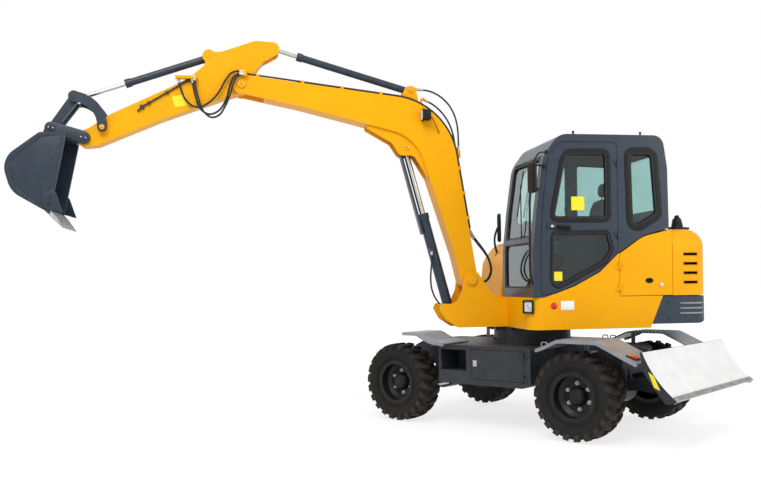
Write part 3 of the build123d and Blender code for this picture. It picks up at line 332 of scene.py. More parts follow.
# name: clean, faded, dust, rubbed,
#       fading, dustiness, dust height, rubbing, patch scale, grain scale, gloss, gloss spread, the rest
CHART = {
    "upper_paint": (
        YELLOW, (0.84, 0.35, 0.003), (0.72, 0.40, 0.12), (0.95, 0.58, 0.12),
        0.55, 0.03, 1.0, 0.5, 2.2, 240, 0.34, 0.10, dict(coat=0.02, bump=0.05, specular=0.09),
    ),
    "cab_paint": (
        NAVY, (0.016, 0.025, 0.040), PALE_DUST, (0.12, 0.14, 0.17),
        0.5, 0.03, 1.0, 0.5, 3.0, 260, 0.30, 0.12, dict(coat=0.12, bump=0.05),
    ),
    "cylinder_paint": (
        NAVY, (0.015, 0.024, 0.038), PALE_DUST, GREY_RUB,
        0.6, 0.04, 1.0, 0.6, 4.0, 220, 0.34, 0.14, dict(coat=0.12, bump=0.08),
    ),
    "chassis_paint": (
        (0.019, 0.021, 0.027), (0.030, 0.033, 0.040), PALE_DUST, GREY_RUB,
        0.7, 0.04, 0.9, 0.5, 5.0, 180, 0.40, 0.18, dict(bump=0.10),
    ),
    "fender_paint": (
        (0.27, 0.285, 0.31), (0.17, 0.18, 0.20), PALE_DUST, (0.62, 0.64, 0.66),
        0.8, 0.10, 0.9, 0.6, 5.0, 150, 0.36, 0.2, dict(bump=0.12, coat=0.15),
    ),
    "blade_paint": (
        (0.80, 0.80, 0.79), (0.70, 0.70, 0.69), (0.56, 0.50, 0.42), (0.45, 0.44, 0.43),
        0.7, 0.10, 0.8, 0.5, 6.0, 150, 0.36, 0.2, dict(bump=0.12),
    ),
    "rim_paint": (
        (0.0045, 0.0045, 0.005), (0.009, 0.009, 0.010), PALE_DUST, GREY_RUB,
        0.5, 0.02, 0.8, 0.4, 8.0, 200, 0.34, 0.2, dict(bump=0.1, specular=0.25),
    ),
    "tyre": (
        (0.0055, 0.0058, 0.006), (0.010, 0.010, 0.010), BROWN_DUST, (0.045, 0.040, 0.035),
        0.6, 0.07, 0.9, 0.6, 9.0, 90, 0.62, 0.15, dict(bump=0.35, depth=0.001, specular=0.2),
    ),
    # tread: its brown dust and rubbed colours and high dustiness are partly dust on the lugs and partly a
    # painted highlight, the brown sheen of the lit lug faces, set against the black carcass
    "tread": (
        (0.0085, 0.0080, 0.0075), (0.020, 0.016, 0.013), (0.085, 0.062, 0.048), (0.05, 0.04, 0.032),
        0.8, 0.50, 0.9, 0.7, 14.0, 90, 0.66, 0.15, dict(bump=0.35, depth=0.001, specular=0.2),
    ),
    "tooth_steel": (
        (0.36, 0.36, 0.36), (0.20, 0.19, 0.18), PALE_DUST, (0.6, 0.6, 0.6),
        0.9, 0.1, 0.5, 0.8, 14.0, 120, 0.40, 0.2, dict(metallic=0.85, bump=0.25),
    ),
    "engine_paint": (
        (0.05, 0.05, 0.055), (0.08, 0.08, 0.08), PALE_DUST, GREY_RUB,
        0.6, 0.1, 1.0, 0.3, 6.0, 120, 0.6, 0.2, dict(bump=0.3),
    ),
    "black_plastic": (
        (0.0055, 0.0058, 0.0065), (0.009, 0.009, 0.010), PALE_DUST, (0.03, 0.03, 0.03),
        0.4, 0.02, 1.0, 0.4, 9.0, 500, 0.42, 0.12, dict(bump=0.2, specular=0.22),
    ),
    "hose_rubber": (
        (0.016, 0.016, 0.017), (0.030, 0.030, 0.031), PALE_DUST, (0.06, 0.06, 0.06),
        0.6, 0.06, 1.0, 0.3, 20.0, 900, 0.50, 0.15, dict(bump=0.4),
    ),
    "steel_line": (
        (0.022, 0.022, 0.024), (0.045, 0.044, 0.042), PALE_DUST, GREY_RUB,
        0.5, 0.05, 1.0, 0.6, 12.0, 400, 0.36, 0.12, dict(bump=0.1),
    ),
    "zinc": (
        (0.58, 0.57, 0.54), (0.42, 0.41, 0.38), PALE_DUST, (0.75, 0.74, 0.72),
        0.7, 0.10, 1.0, 0.4, 40.0, 600, 0.32, 0.2, dict(metallic=0.9, bump=0.15),
    ),
    "blank_yellow": (
        (0.90, 0.74, 0.02), (0.80, 0.66, 0.04), PALE_DUST, (0.9, 0.85, 0.6),
        0.5, 0.08, 1.0, 0.4, 20.0, 500, 0.38, 0.1, dict(bump=0.05),
    ),
    "blank_white": (
        (0.86, 0.86, 0.85), (0.76, 0.76, 0.74), PALE_DUST, (0.9, 0.9, 0.9),
        0.5, 0.08, 1.0, 0.4, 20.0, 500, 0.38, 0.1, dict(bump=0.05),
    ),
}
finishes = {name: field_paint(name, row[:4], row[4:12], **row[12]) for name, row in CHART.items()}
print(len(finishes), "finishes on the chart")

# %% [markdown]
# ## Chrome, glass and lenses
# A chromed rod carries an oil film and glass a little unevenness, so both keep a faint variation of
# roughness. Cab glass is thin and flat: a glass shader on a pane with two faces bends light properly, and
# a faint green in its colour is what laminated panes show.

# %% Chrome, glass and lenses


def clear_stuff(name, colour, patch, spread, metallic=0.0, through=0.0, rough_scale=30.0):
    """Shiny or clear material whose roughness varies between patch and spread."""
    finishes[name], tree, shader = new_material(name)
    film = noise(tree, tree.nodes.new("ShaderNodeTexCoord").outputs["Object"], rough_scale, 3)
    shade = tuple(c * 0.82 for c in colour)
    tree.links.new(mix_colour(tree, film, (*colour, 1), (*shade, 1)), shader.inputs["Base Color"])
    tree.links.new(sums(tree, "ADD", sums(tree, "MULTIPLY", film, spread), patch), shader.inputs["Roughness"])
    shader.inputs["Metallic"].default_value = metallic
    shader.inputs["Transmission Weight"].default_value = through
    shader.inputs["IOR"].default_value = 1.45


clear_stuff("bright_steel", (0.58, 0.59, 0.60), 0.12, 0.16, metallic=1.0)
clear_stuff("glass", (0.58, 0.78, 0.755), 0.0, 0.03, through=1.0, rough_scale=6.0)
clear_stuff("mirror", (0.80, 0.82, 0.84), 0.02, 0.04, metallic=1.0)
clear_stuff("red_lens", (0.70, 0.020, 0.012), 0.10, 0.10)
clear_stuff("amber_lens", (0.85, 0.25, 0.02), 0.10, 0.10)
clear_stuff("clear_lens", (0.93, 0.94, 0.95), 0.05, 0.08, through=0.2)
print(len(finishes), "finishes in all")

# %% [markdown]
# ## Woven seat cloth
# Seat cloth is two sets of threads over and under each other. Two wave textures along the cloth's own
# axes, one for each set, multiply into small raised squares, and a second scale gives the weave its
# slightly uneven tint.

# %% Seat cloth
cloth, tree, shader = new_material("seat_fabric")
spot = tree.nodes.new("ShaderNodeTexCoord").outputs["Object"]
threads = []
for direction in ("X", "Z"):
    wave = tree.nodes.new("ShaderNodeTexWave")
    wave.bands_direction = direction
    wave.inputs["Scale"].default_value = 90.0
    wave.inputs["Distortion"].default_value = 1.2
    tree.links.new(spot, wave.inputs["Vector"])
    threads.append(wave.outputs["Fac"])
weave = sums(tree, "MULTIPLY", *threads)
tint = mix_colour(tree, noise(tree, spot, 30.0, 4), (0.016, 0.017, 0.020, 1), (0.040, 0.042, 0.048, 1))
tree.links.new(mix_colour(tree, weave, tint, (0.055, 0.058, 0.066, 1)), shader.inputs["Base Color"])
tree.links.new(stretch(tree, weave, -4.0, 1.6), shader.inputs["Roughness"])
shader.inputs["Sheen Weight"].default_value = 0.3
relieve(tree, shader, weave, 0.5, 0.0006)
finishes["seat_fabric"] = cloth

slots = {part["node"]: part["material_slot"] for part in frame["record"]["subparts"]}
for name, node in cad.items():
    node.data.materials.clear()
    node.data.materials.append(finishes[slots[name]])
print(len(slots), "nodes painted")

# %% [markdown]
# ## Two-tone blade
# The board's face is bright from scraping, while the rest is dark like the chassis. That needs no second
# node: the shader asks which way a face looks in the object's own axes, and paints only what looks
# backwards.

# %% Two-tone blade finish
tree = finishes["blade_paint"].node_tree
board = tree.nodes["Principled BSDF"].inputs["Base Color"]
facing_back = tree.nodes.new("ShaderNodeVectorMath")
facing_back.operation = "DOT_PRODUCT"
tree.links.new(tree.nodes.new("ShaderNodeTexCoord").outputs["Normal"], facing_back.inputs[0])
facing_back.inputs[1].default_value = LOWER.to_3x3() @ Vector((-1000, 0, 0))
mask = stretch(tree, facing_back.outputs["Value"], 0.30, 0.34)
scraped = board.links[0].from_socket
tree.links.new(mix_colour(tree, mask, (0.020, 0.022, 0.028, 1), scraped), board)
print("blade has two tones")

# %% [markdown]
# ## Floor
# The floor is a wide sheet of the cove. To the camera it is white light with only the machine's shadow
# taken out of it, and it gives way to the cove before the horizon, so no edge shows.

# %% Floor
FLOOR_REACH = 60
floor_mesh = bpy.data.meshes.new("floor")
corners = [(a * FLOOR_REACH, b * FLOOR_REACH, -0.002) for a, b in ((-1, -1), (1, -1), (1, 1), (-1, 1))]
floor_mesh.from_pydata(corners, [], [(0, 1, 2, 3)])
floor = bpy.data.objects.new("floor", floor_mesh)
scene.collection.objects.link(floor)

floor_paint, tree, shader = new_material("floor_paint")
tree.nodes.remove(shader)
reach = tree.nodes.new("ShaderNodeVectorMath")
reach.operation = "LENGTH"
tree.links.new(tree.nodes.new("ShaderNodeTexCoord").outputs["Object"], reach.inputs[0])
lit = tree.nodes.new("ShaderNodeBsdfDiffuse")
lit.inputs["Color"].default_value = (0.90, 0.90, 0.90, 1)
white = tree.nodes.new("ShaderNodeEmission")
white.inputs["Color"].default_value = (1, 1, 1, 1)
white.inputs["Strength"].default_value = 1.15
near = mix_shader(tree, 0.66, lit.outputs[0], white.outputs[0])
shown = mix_shader(tree, stretch(tree, reach.outputs["Value"], 2.6, 6.0), near, white.outputs[0])
choice = mix_shader(tree, seen_directly(tree), lit.outputs[0], shown)
tree.links.new(choice, tree.nodes["Material Output"].inputs["Surface"])
floor.data.materials.append(floor_paint)
print("floor laid")

# %% [markdown]
# ## Mesh bench
# Small pieces are turned, folded or bent, so a few functions stand in for the lathe, the folding bench
# and the tube bender. Each gives a form: rings of points in millimetres, and whether its ends are open,
# capped or joined to each other. set_piece makes one mesh of a list of forms, rounds its edges, puts it
# in its place and hangs it on the body that carries it.

# %% Set a piece
SHARP_ANGLE = math.radians(32)


def hang(name, mesh, body):
    """Object of a mesh, on its body."""
    piece = bpy.data.objects.new(name, mesh)
    scene.collection.objects.link(piece)
    if body:
        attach(piece, body)
    return piece


def finish_piece(name, work, finish, body, bevel, place, segments=2):
    """Object of a mesh under work: closed, its edges rounded, in its place."""
    bmesh.ops.remove_doubles(work, verts=work.verts, dist=0.01)
    bmesh.ops.recalc_face_normals(work, faces=work.faces)
    if bevel:
        edges = [e for e in work.edges if e.is_manifold and e.calc_face_angle(0) > SHARP_ANGLE]
        bmesh.ops.bevel(
            work, geom=edges, offset=bevel, segments=segments, profile=0.6, affect="EDGES", clamp_overlap=True
        )
    work.transform(place)
    mesh = bpy.data.meshes.new(name)
    work.to_mesh(mesh)
    work.free()
    mesh.shade_smooth()
    mesh.set_sharp_from_angle(angle=SHARP_ANGLE)
    mesh.materials.append(finishes[finish])
    return hang(name, mesh, body)


def set_piece(name, forms, finish, body="upper", bevel=0.0, place=UPPER, segments=2):
    """Object of one or more forms, in its place, on its body."""
    work = bmesh.new()
    for rings, ends in forms:
        rows = [[work.verts.new(p) for p in ring] for ring in rings]
        for row, after in zip(rows, rows[1:] + (rows[:1] if ends == "joined" else [])):
            for i in range(len(row)):
                j = (i + 1) % len(row)
                work.faces.new((row[i], row[j], after[j], after[i]))
        if ends == "capped":
            work.faces.new(rows[0][::-1])
            work.faces.new(rows[-1])
    return finish_piece(name, work, finish, body, bevel, place, segments)


# %% Outlines


def spread(across, a, b, t):
    """Point of a plate's outline: a and b in its plane, t across it."""
    return {"X": (t, a, b), "Y": (a, t, b), "Z": (a, b, t)}[across]


def bend(before, corner, after, reach, steps):
    """Points of a smooth bend at a corner, over a reach to each side."""
    start = corner + (before - corner).normalized() * reach
    end = corner + (after - corner).normalized() * reach
    shares = [i / steps for i in range(steps + 1)]
    return [start * (1 - t) ** 2 + corner * (2 * t * (1 - t)) + end * t**2 for t in shares]


def rounded(points, radius, steps=4):
    """Closed outline with every corner rounded."""
    corners = [Vector(p) for p in points]
    found = []
    for before, corner, after in zip(corners[-1:] + corners[:-1], corners, corners[1:] + corners[:1]):
        reach = min(radius, 0.45 * (before - corner).length, 0.45 * (after - corner).length)
        found += bend(before, corner, after, reach, steps)
    return found


def bent(points, radius, steps=5):
    """Open path with its corners rounded."""
    corners = [Vector(p) for p in points]
    found = [corners[0]]
    for before, corner, after in zip(corners, corners[1:], corners[2:]):
        reach = min(radius, 0.48 * (before - corner).length, 0.48 * (after - corner).length)
        found += bend(before, corner, after, reach, steps)
    return found + [corners[-1]]


def rectangle(a, b, c, d, radius=0, steps=4):
    """Outline of a rectangle from a, b to c, d, its corners rounded if it has a radius."""
    corners = [(a, b), (c, b), (c, d), (a, d)]
    return rounded(corners, radius, steps) if radius else corners


# %% Outlines with true corners


def filleted(table, steps=5):
    """Closed outline from corners with a radius each."""
    corners = [(Vector((a, b)), r) for a, b, r in table]
    found = []
    for (before, _), (corner, radius), (after, _) in zip(
        corners[-1:] + corners[:-1], corners, corners[1:] + corners[:1]
    ):
        back = (before - corner).normalized()
        on = (after - corner).normalized()
        half = back.angle(on) / 2
        if radius < 1 or half > 1.5:
            found.append(corner)
            continue
        centre = corner + (back + on).normalized() * radius / math.sin(half)
        start = corner + back * radius / math.tan(half) - centre
        end = corner + on * radius / math.tan(half) - centre
        for i in range(steps + 1):
            found.append(centre + (start * (1 - i / steps) + end * (i / steps)).normalized() * radius)
    return found


def inset(outline, depth):
    """Closed outline moved inwards by a depth."""
    area = sum(a[0] * b[1] - b[0] * a[1] for a, b in zip(outline, outline[1:] + outline[:1]))
    sign = 1 if area > 0 else -1
    moved = []
    for before, point, after in zip(outline[-1:] + outline[:-1], outline, outline[1:] + outline[:1]):
        way = (Vector(after) - Vector(before)).normalized()
        moved.append(Vector(point) + Vector((-way.y, way.x)) * depth * sign)
    return moved


# %% Plates, ribbons and blocks


def plate(outline, low, high, across="Y"):
    """Flat plate of an outline between two distances."""
    return [[spread(across, p[0], p[1], t) for p in outline] for t in (high, low)], "capped"


def plates(outline, low, high):
    """The same plate on the left flank and on the right one."""
    return [plate(outline, *sorted((side * low, side * high))) for side in (1, -1)]


def ribbon(outer, inner, low, high, across="Y"):
    """Flat frame between two outlines with as many points, from one distance to another."""
    sections = ((outer, low), (outer, high), (inner, high), (inner, low))
    return [[spread(across, p[0], p[1], t) for p in line] for line, t in sections], "joined"


def block(low, high):
    """Right-angled block between two corners."""
    return plate(rectangle(*low[:2], *high[:2]), low[2], high[2], "Z")


# %% Turned pieces and tubes


def circle(way, steps, start=0.0):
    """Directions square to a way, evenly round it."""
    one = way.orthogonal().normalized()
    two = way.cross(one)
    turns = [start + 2 * math.pi * i / steps for i in range(steps)]
    return [one * math.cos(turn) + two * math.sin(turn) for turn in turns]


def turned(profile, start, way, steps=32, ring=False):
    """Turned piece: profile of distance along an axis through start and radius, its ends closed or a ring."""
    start, way = Vector(start), Vector(way).normalized()
    if not ring:
        profile = [(profile[0][0], 0), *profile, (profile[-1][0], 0)]
    spokes = circle(way, steps)
    rings = [[start + way * along + spoke * radius for spoke in spokes] for along, radius in profile]
    return rings, "joined" if ring else "open"


def tube(points, radius, sides=12, closed=False, flat=1.0):
    """Round tube along a path, flattened across its first side by flat."""
    points = [Vector(p) for p in points]
    count = len(points)
    rings = []
    one = None
    for i, point in enumerate(points):
        before = points[i - 1] if closed or i else point
        after = points[(i + 1) % count] if closed or i < count - 1 else point
        way = (after - before).normalized()
        one = one or way.orthogonal().normalized()
        one = (one - way * one.dot(way)).normalized()
        two = way.cross(one)
        turns = [2 * math.pi * k / sides for k in range(sides)]
        rings.append([point + one * math.cos(t) * radius * flat + two * math.sin(t) * radius for t in turns])
    return rings, "joined" if closed else "capped"


print("mesh bench ready")

# %% [markdown]
# ## Fasteners by rule
# Bolts repeat, so Geometry Nodes set them: points say where, each point's facing says which way the head
# looks, and the tree puts a washer and a six-sided head there. Its sizes are named inputs, set once for
# each set of bolts. The result is made a plain mesh, because only real faces are exported.

# %% Fastener tree
BOLT_INPUTS = {
    "Head Radius": 11.0, "Head Height": 9.0, "Washer Radius": 15.0, "Washer Height": 3.0, "Sides": 6,
}
bolts = bpy.data.node_groups.new("bolt_set", "GeometryNodeTree")
bolts.interface.new_socket("Geometry", in_out="INPUT", socket_type="NodeSocketGeometry")
for label, value in BOLT_INPUTS.items():
    kind = "NodeSocketInt" if isinstance(value, int) else "NodeSocketFloat"
    bolts.interface.new_socket(label, in_out="INPUT", socket_type=kind).default_value = value
bolts.interface.new_socket("Finish", in_out="INPUT", socket_type="NodeSocketMaterial")
bolts.interface.new_socket("Geometry", in_out="OUTPUT", socket_type="NodeSocketGeometry")
bolt_in = bolts.nodes.new("NodeGroupInput").outputs
joined = bolts.nodes.new("GeometryNodeJoinGeometry")


def bolt_disc(radius, height, sides, foot):
    """Cylinder of the bolt that stands on a foot height."""
    drum = bolts.nodes.new("GeometryNodeMeshCylinder")
    wire(bolts, drum.inputs["Vertices"], sides)
    wire(bolts, drum.inputs["Radius"], radius)
    wire(bolts, drum.inputs["Depth"], height)
    lift = bolts.nodes.new("ShaderNodeCombineXYZ")
    wire(bolts, lift.inputs["Z"], sums(bolts, "ADD", foot, sums(bolts, "MULTIPLY", height, 0.5)))
    shift = bolts.nodes.new("GeometryNodeTransform")
    bolts.links.new(drum.outputs["Mesh"], shift.inputs["Geometry"])
    bolts.links.new(lift.outputs[0], shift.inputs["Translation"])
    bolts.links.new(shift.outputs[0], joined.inputs[0])


head_foot = sums(bolts, "SUBTRACT", bolt_in["Washer Height"], 0.6)
bolt_disc(bolt_in["Washer Radius"], bolt_in["Washer Height"], 18, -0.4)
bolt_disc(bolt_in["Head Radius"], bolt_in["Head Height"], bolt_in["Sides"], head_foot)
print(len(bolts.nodes), "nodes so far")

# %% Placing and closing of the tree
facing = bolts.nodes.new("GeometryNodeInputNamedAttribute")
facing.data_type = "FLOAT_VECTOR"
facing.inputs["Name"].default_value = "facing"
turn = bolts.nodes.new("FunctionNodeAlignRotationToVector")
turn.axis = "Z"
bolts.links.new(facing.outputs["Attribute"], turn.inputs["Vector"])
placed = bolts.nodes.new("GeometryNodeInstanceOnPoints")
bolts.links.new(bolt_in["Geometry"], placed.inputs["Points"])
bolts.links.new(joined.outputs[0], placed.inputs["Instance"])
bolts.links.new(turn.outputs["Rotation"], placed.inputs["Rotation"])
real = bolts.nodes.new("GeometryNodeRealizeInstances")
bolts.links.new(placed.outputs[0], real.inputs[0])
dress = bolts.nodes.new("GeometryNodeSetMaterial")
bolts.links.new(real.outputs[0], dress.inputs["Geometry"])
bolts.links.new(bolt_in["Finish"], dress.inputs["Material"])
bolts.links.new(dress.outputs[0], bolts.nodes.new("NodeGroupOutput").inputs[0])
bolt_sockets = {item.name: item.identifier for item in bolts.interface.items_tree if item.in_out == "INPUT"}
print("fastener inputs", list(bolt_sockets))


# %% Sets of bolts
def set_bolts(name, points, body, sizes, finish="zinc", place=UPPER):
    """Bolts at points, each a place and a facing, in sizes given in the order of BOLT_INPUTS."""
    seed = bpy.data.meshes.new(name + "_points")
    seed.from_pydata([p for p, f in points], [], [])
    looks = seed.attributes.new("facing", "FLOAT_VECTOR", "POINT")
    for item, (p, f) in zip(looks.data, points):
        item.vector = f
    carrier = bpy.data.objects.new(name + "_points", seed)
    scene.collection.objects.link(carrier)
    rule = carrier.modifiers.new("bolts", "NODES")
    rule.node_group = bolts
    rule[bolt_sockets["Finish"]] = finishes[finish]
    for (label, usual), value in zip(BOLT_INPUTS.items(), sizes):
        rule[bolt_sockets[label]] = type(usual)(value)
    shown = carrier.evaluated_get(bpy.context.evaluated_depsgraph_get())
    mesh = bpy.data.meshes.new_from_object(shown)
    bpy.data.objects.remove(carrier)
    mesh.transform(place)
    mesh.name = name
    mesh.shade_flat()
    print(name, len(points), "bolts,", len(mesh.polygons), "faces")
    hang(name, mesh, body)


def bolt_ring(centre, way, radius, count, start=0.0):
    """Points on a circle about an axis, all facing along it."""
    way = Vector(way).normalized()
    return [(Vector(centre) + spoke * radius, way) for spoke in circle(way, count, start)]

# %% [markdown]
# ## Seals round the panes
# Every pane sits in a black rubber profile, and its rim is printed black where the glue is. The outline of
# each opening is a short table of corners and radii, the same form as a sheet-metal drawing. The printed
# rim is a flat frame on the glass and the rubber is a tube along the opening, both from that outline.

# %% Side windows
# outer face of the wall and of the pane, way out
LEFT, RIGHT = (900, 880, 1), (-70, -50, -1)
SEAL_RADIUS = 9
# name, width of the printed rim and of the outer frame, body, side, corners with their radii
WINDOWS = [
    (
        "door_upper", 20, 44, "cab_door", LEFT,
        [(-458, 2698, 40), (-42, 2693, 90), (88, 2070, 40), (-458, 2069, 40)],
    ),
    (
        "door_lower", 20, 24, "cab_door", LEFT,
        [(-467, 1934, 40), (90, 1927, 40), (107, 1487, 40), (68, 1391, 60)]
        + [(-431, 1644, 120), (-505, 1760, 60)],
    ),
    (
        "quarter", 24, 56, "upper", LEFT,
        [(-694, 2700, 40), (-932, 2703, 60), (-975, 2107, 40), (-713, 1952, 60)],
    ),
    (
        "right_front", 26, 16, "upper", RIGHT,
        [(-430, 2720, 50), (10, 2720, 120), (110, 2500, 200), (150, 2050, 50), (-430, 2050, 50)],
    ),
    (
        "right_rear", 26, 16, "upper", RIGHT,
        [(-980, 2700, 60), (-520, 2720, 50), (-520, 2050, 50), (-1000, 2080, 50)],
    ),
]
for name, rim, brim, body, (wall, pane, out), table in WINDOWS:
    opening = filleted(table)
    border = ribbon(inset(opening, -brim), inset(opening, 2), wall - 0.5 * out, wall + 2.5 * out)
    set_piece(name + "_frame", [border], "black_plastic", body, bevel=1)
    printed = ribbon(inset(opening, 1), inset(opening, rim), pane + 0.5 * out, pane + 3 * out)
    set_piece(name + "_printed_rim", [printed], "black_plastic", body)
    loop = [spread("Y", p[0], p[1], wall - 5 * out) for p in inset(opening, 6)]
    set_piece(name + "_seal", [tube(loop, SEAL_RADIUS, 8, closed=True)], "hose_rubber", body)
print(len(WINDOWS), "side windows sealed")

# %% [markdown]
# The front and rear panes follow the cab's profile, which is a line of x against height. The loop of a
# seal there runs up one side, across the top, down the other side and back.

# %% Front and rear windows
FRONT_LINE = [(292, 1310), (290, 1780), (248, 2175), (180, 2660), (20, 2878)]
REAR_LINE = [(-1096, 1970), (-1087, 2560), (-1040, 2876)]
END_SEAL_RADIUS = 13
STEP = 90


def profile_x(line, height):
    """x of a profile line at a height."""
    for (x0, z0), (x1, z1) in zip(line, line[1:]):
        if z0 <= height <= z1:
            return x0 + (x1 - x0) * (height - z0) / (z1 - z0)


# name, profile, set back, then y from, z from, y to and z to
END_WINDOWS = [
    ("windshield", FRONT_LINE, -13, 14, 1899, 806, 2651),
    ("lower_front", FRONT_LINE, -13, 14, 1404, 806, 1841),
    ("rear_window", REAR_LINE, 13, 34, 2154, 796, 2716),
]
for name, line, back, *sides in END_WINDOWS:
    flat_loop = rectangle(*sides, 60, 5)
    finer = []
    for a, b in zip(flat_loop, flat_loop[1:] + flat_loop[:1]):
        pieces = max(1, int((b - a).length // STEP))
        finer += [a + (b - a) * i / pieces for i in range(pieces)]
    loop = [(profile_x(line, p.y) + back, p.x, p.y) for p in finer]
    set_piece(name + "_seal", [tube(loop, END_SEAL_RADIUS, 8, closed=True)], "hose_rubber")
print(len(END_WINDOWS), "end windows sealed")

# %% [markdown]
# ## On and round the cab
# A grab rail stands before the front pillar, a wiper rests on the windshield, and the door has a pull
# handle with a lock. All are bent rod or small pressed parts, so the tube bender and the plate do.

# %% Grab rail, wiper and roof studs
RAIL = [
    (232, 872, 2352), (300, 880, 2340), (312, 880, 2230),
    (318, 880, 1560), (304, 880, 1450), (268, 872, 1432),
]
rail = [tube(bent(RAIL, 60), 11, 12)]
for x, z in ((232, 2350), (262, 1433)):
    rail.append(turned([(0, 22), (8, 22), (12, 14)], (x, 872, z), (1, 0, 0.05), 20))
set_piece("grab_rail", rail, "black_plastic")
wiper = [
    tube(bent([(268, 500, 1905), (270, 500, 1960), (250, 430, 2330), (238, 400, 2440)], 30), 6, 8),
    tube(bent([(268, 372, 2120), (259, 376, 2200), (213, 420, 2580)], 40), 5, 8, flat=1.8),
    turned([(0, 26), (14, 26), (22, 16)], (258, 500, 1895), (1, 0, 0.1), 24),
]
set_piece("wiper", wiper, "black_plastic")
ROOF_STUD = [(0, 17), (6, 17), (10, 9), (32, 9), (36, 13), (44, 13), (48, 8)]
studs = [turned(ROOF_STUD, (x, 800, 2876), (0, 0, 1), 18) for x in (-165, -859)]
studs.append(turned([(0, 20), (26, 20), (32, 12)], (-1068, 800, 2769), (-1, 0, 0.1), 18))
studs.append(turned([(0, 14), (22, 14), (27, 9)], (192, 700, 2590), (1, 0, 0.3), 18))
set_piece("roof_studs", studs, "black_plastic")
print("rail, wiper and studs in place")

# %% Door handle, lock and trim
bed = rounded([(-96, 1946), (142, 1966), (142, 2016), (-96, 1996)], 20)
set_piece("handle_bed", [plate(bed, 899, 904)], "black_plastic", "cab_door", bevel=1.5)
pull = bent([(38, 902, 1985), (34, 932, 1984), (-66, 932, 1974), (-74, 902, 1973)], 18)
set_piece("door_pull", [tube(pull, 8, 10, flat=1.5)], "black_plastic", "cab_door")
lock = [(0, 15), (13, 15), (16, 12), (16, 5), (14, 5)]
set_piece("door_lock", [turned(lock, (105, 912, 1991), (0, 1, 0), 24)], "zinc", "cab_door")
DOOR = [
    (-566, 1745, 20), (-566, 2800, 60), (20, 2800, 120), (128, 2655, 200), (190, 2175, 200),
    (213, 1780, 200), (213, 1330, 30), (68, 1360, 60), (-124, 1426, 400), (-379, 1558, 400),
]
loop = [spread("Y", p[0], p[1], 886) for p in inset(filleted(DOOR), -3.5)]
set_piece("door_gap_rubber", [tube(loop, 3.5, 6, closed=True)], "hose_rubber")
print("door dressed")

# %% [markdown]
# ## Mirrors
# The CAD mirrors are plain blocks. The real ones are shells with rounded edges and a silvered plate on
# the driver's side, on bent arms. New pieces take their place and stand for the CAD node.

# %% Mirrors


def mirror_head(name, centre, width, height, degrees):
    """Shell and silvered plate about a centre, turned about the vertical."""
    place = UPPER @ Matrix.Translation(centre) @ Matrix.Rotation(math.radians(degrees), 4, "Z")
    form = rectangle(-width / 2, -height / 2, width / 2, height / 2, 42, 6)
    shell = [plate(inset(form, 12), 12, 20, "X"), plate(form, -16, 12, "X")]
    set_piece(name + "_shell", shell, "black_plastic", bevel=6, place=place, segments=3)
    set_piece(name + "_plate", [plate(inset(form, 9), -19, -15.5, "X")], "mirror", place=place)


mirror_head("left_mirror", (325, 995, 2442), 140, 285, 8)
mirror_head("right_mirror", (145, -655, 2075), 150, 320, -14)
UPPER_ARM = [(171, 903, 2563), (235, 960, 2566), (322, 986, 2566), (345, 990, 2500), (346, 992, 2442)]
arms = [
    tube(bent(UPPER_ARM, 40), 9, 10),
    tube(bent([(150, 903, 2700), (240, 940, 2690), (300, 975, 2600), (322, 986, 2566)], 40), 7, 10),
    turned([(0, 24), (9, 24), (12, 16)], (171, 899, 2563), (0, 1, 0), 20),
    turned([(0, 20), (9, 20), (12, 12)], (150, 899, 2700), (0, 1, 0), 20),
    tube(bent([(200, -550, 1775), (222, -560, 1850), (212, -632, 1960), (165, -655, 2075)], 60), 12, 10),
    turned([(0, 34), (8, 34), (14, 20)], (198, -549, 1770), (0.6, 0, 1), 20),
]
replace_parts(set_piece("mirror_arms", arms, "black_plastic"), "mirrors")
print("mirrors stand for the CAD node")

# %% [markdown]
# ## Seat
# An operator's seat is foam under cloth: a crowned cushion with bolsters, a back that leans and a
# headrest, on a bellows suspension. Each cushion starts as a rounded block. A sphere-like push outwards
# that fades towards the rim crowns it, and subdivision closes the form.

# %% Cushions
HIP = (-520, 425, 1800)


def cushion(name, low, high, lean, crown, face):
    """Padded block, crowned on one face and leant back by degrees about the hip."""
    low, high = Vector(low), Vector(high)
    work = bmesh.new()
    bmesh.ops.create_cube(work, size=1.0)
    bmesh.ops.subdivide_edges(work, edges=work.edges, cuts=9, use_grid_fill=True)
    size, centre = high - low, (high + low) / 2
    for vert in work.verts:
        u = vert.co * 2
        corner = 1 - 0.16 * (abs(u.x * u.y) ** 3 + abs(u.y * u.z) ** 3 + abs(u.x * u.z) ** 3) / 1.5
        a, b = [u[i] for i in range(3) if i != face]
        out = crown * max(0, u[face]) * (1 - a * a) * (1 - b * b)
        bolster = crown * 0.9 * max(0, u[face]) * math.exp(-((abs(u.y) - 0.78) / 0.16) ** 2)
        seam = -5 * max(0, u[face]) * math.exp(-((abs(u.y) - 0.58) / 0.035) ** 2)
        vert.co = centre + Vector(u[i] * size[i] / 2 * corner for i in range(3))
        vert.co[face] += out + bolster + seam
    turn = Matrix.Rotation(math.radians(lean), 4, "Y")
    leant = Matrix.Translation(HIP) @ turn @ Matrix.Translation(-Vector(HIP))
    piece = finish_piece(name, work, "seat_fabric", "upper", 0, UPPER @ leant)
    soften = piece.modifiers.new("soften", "SUBSURF")
    soften.levels = soften.render_levels = 1


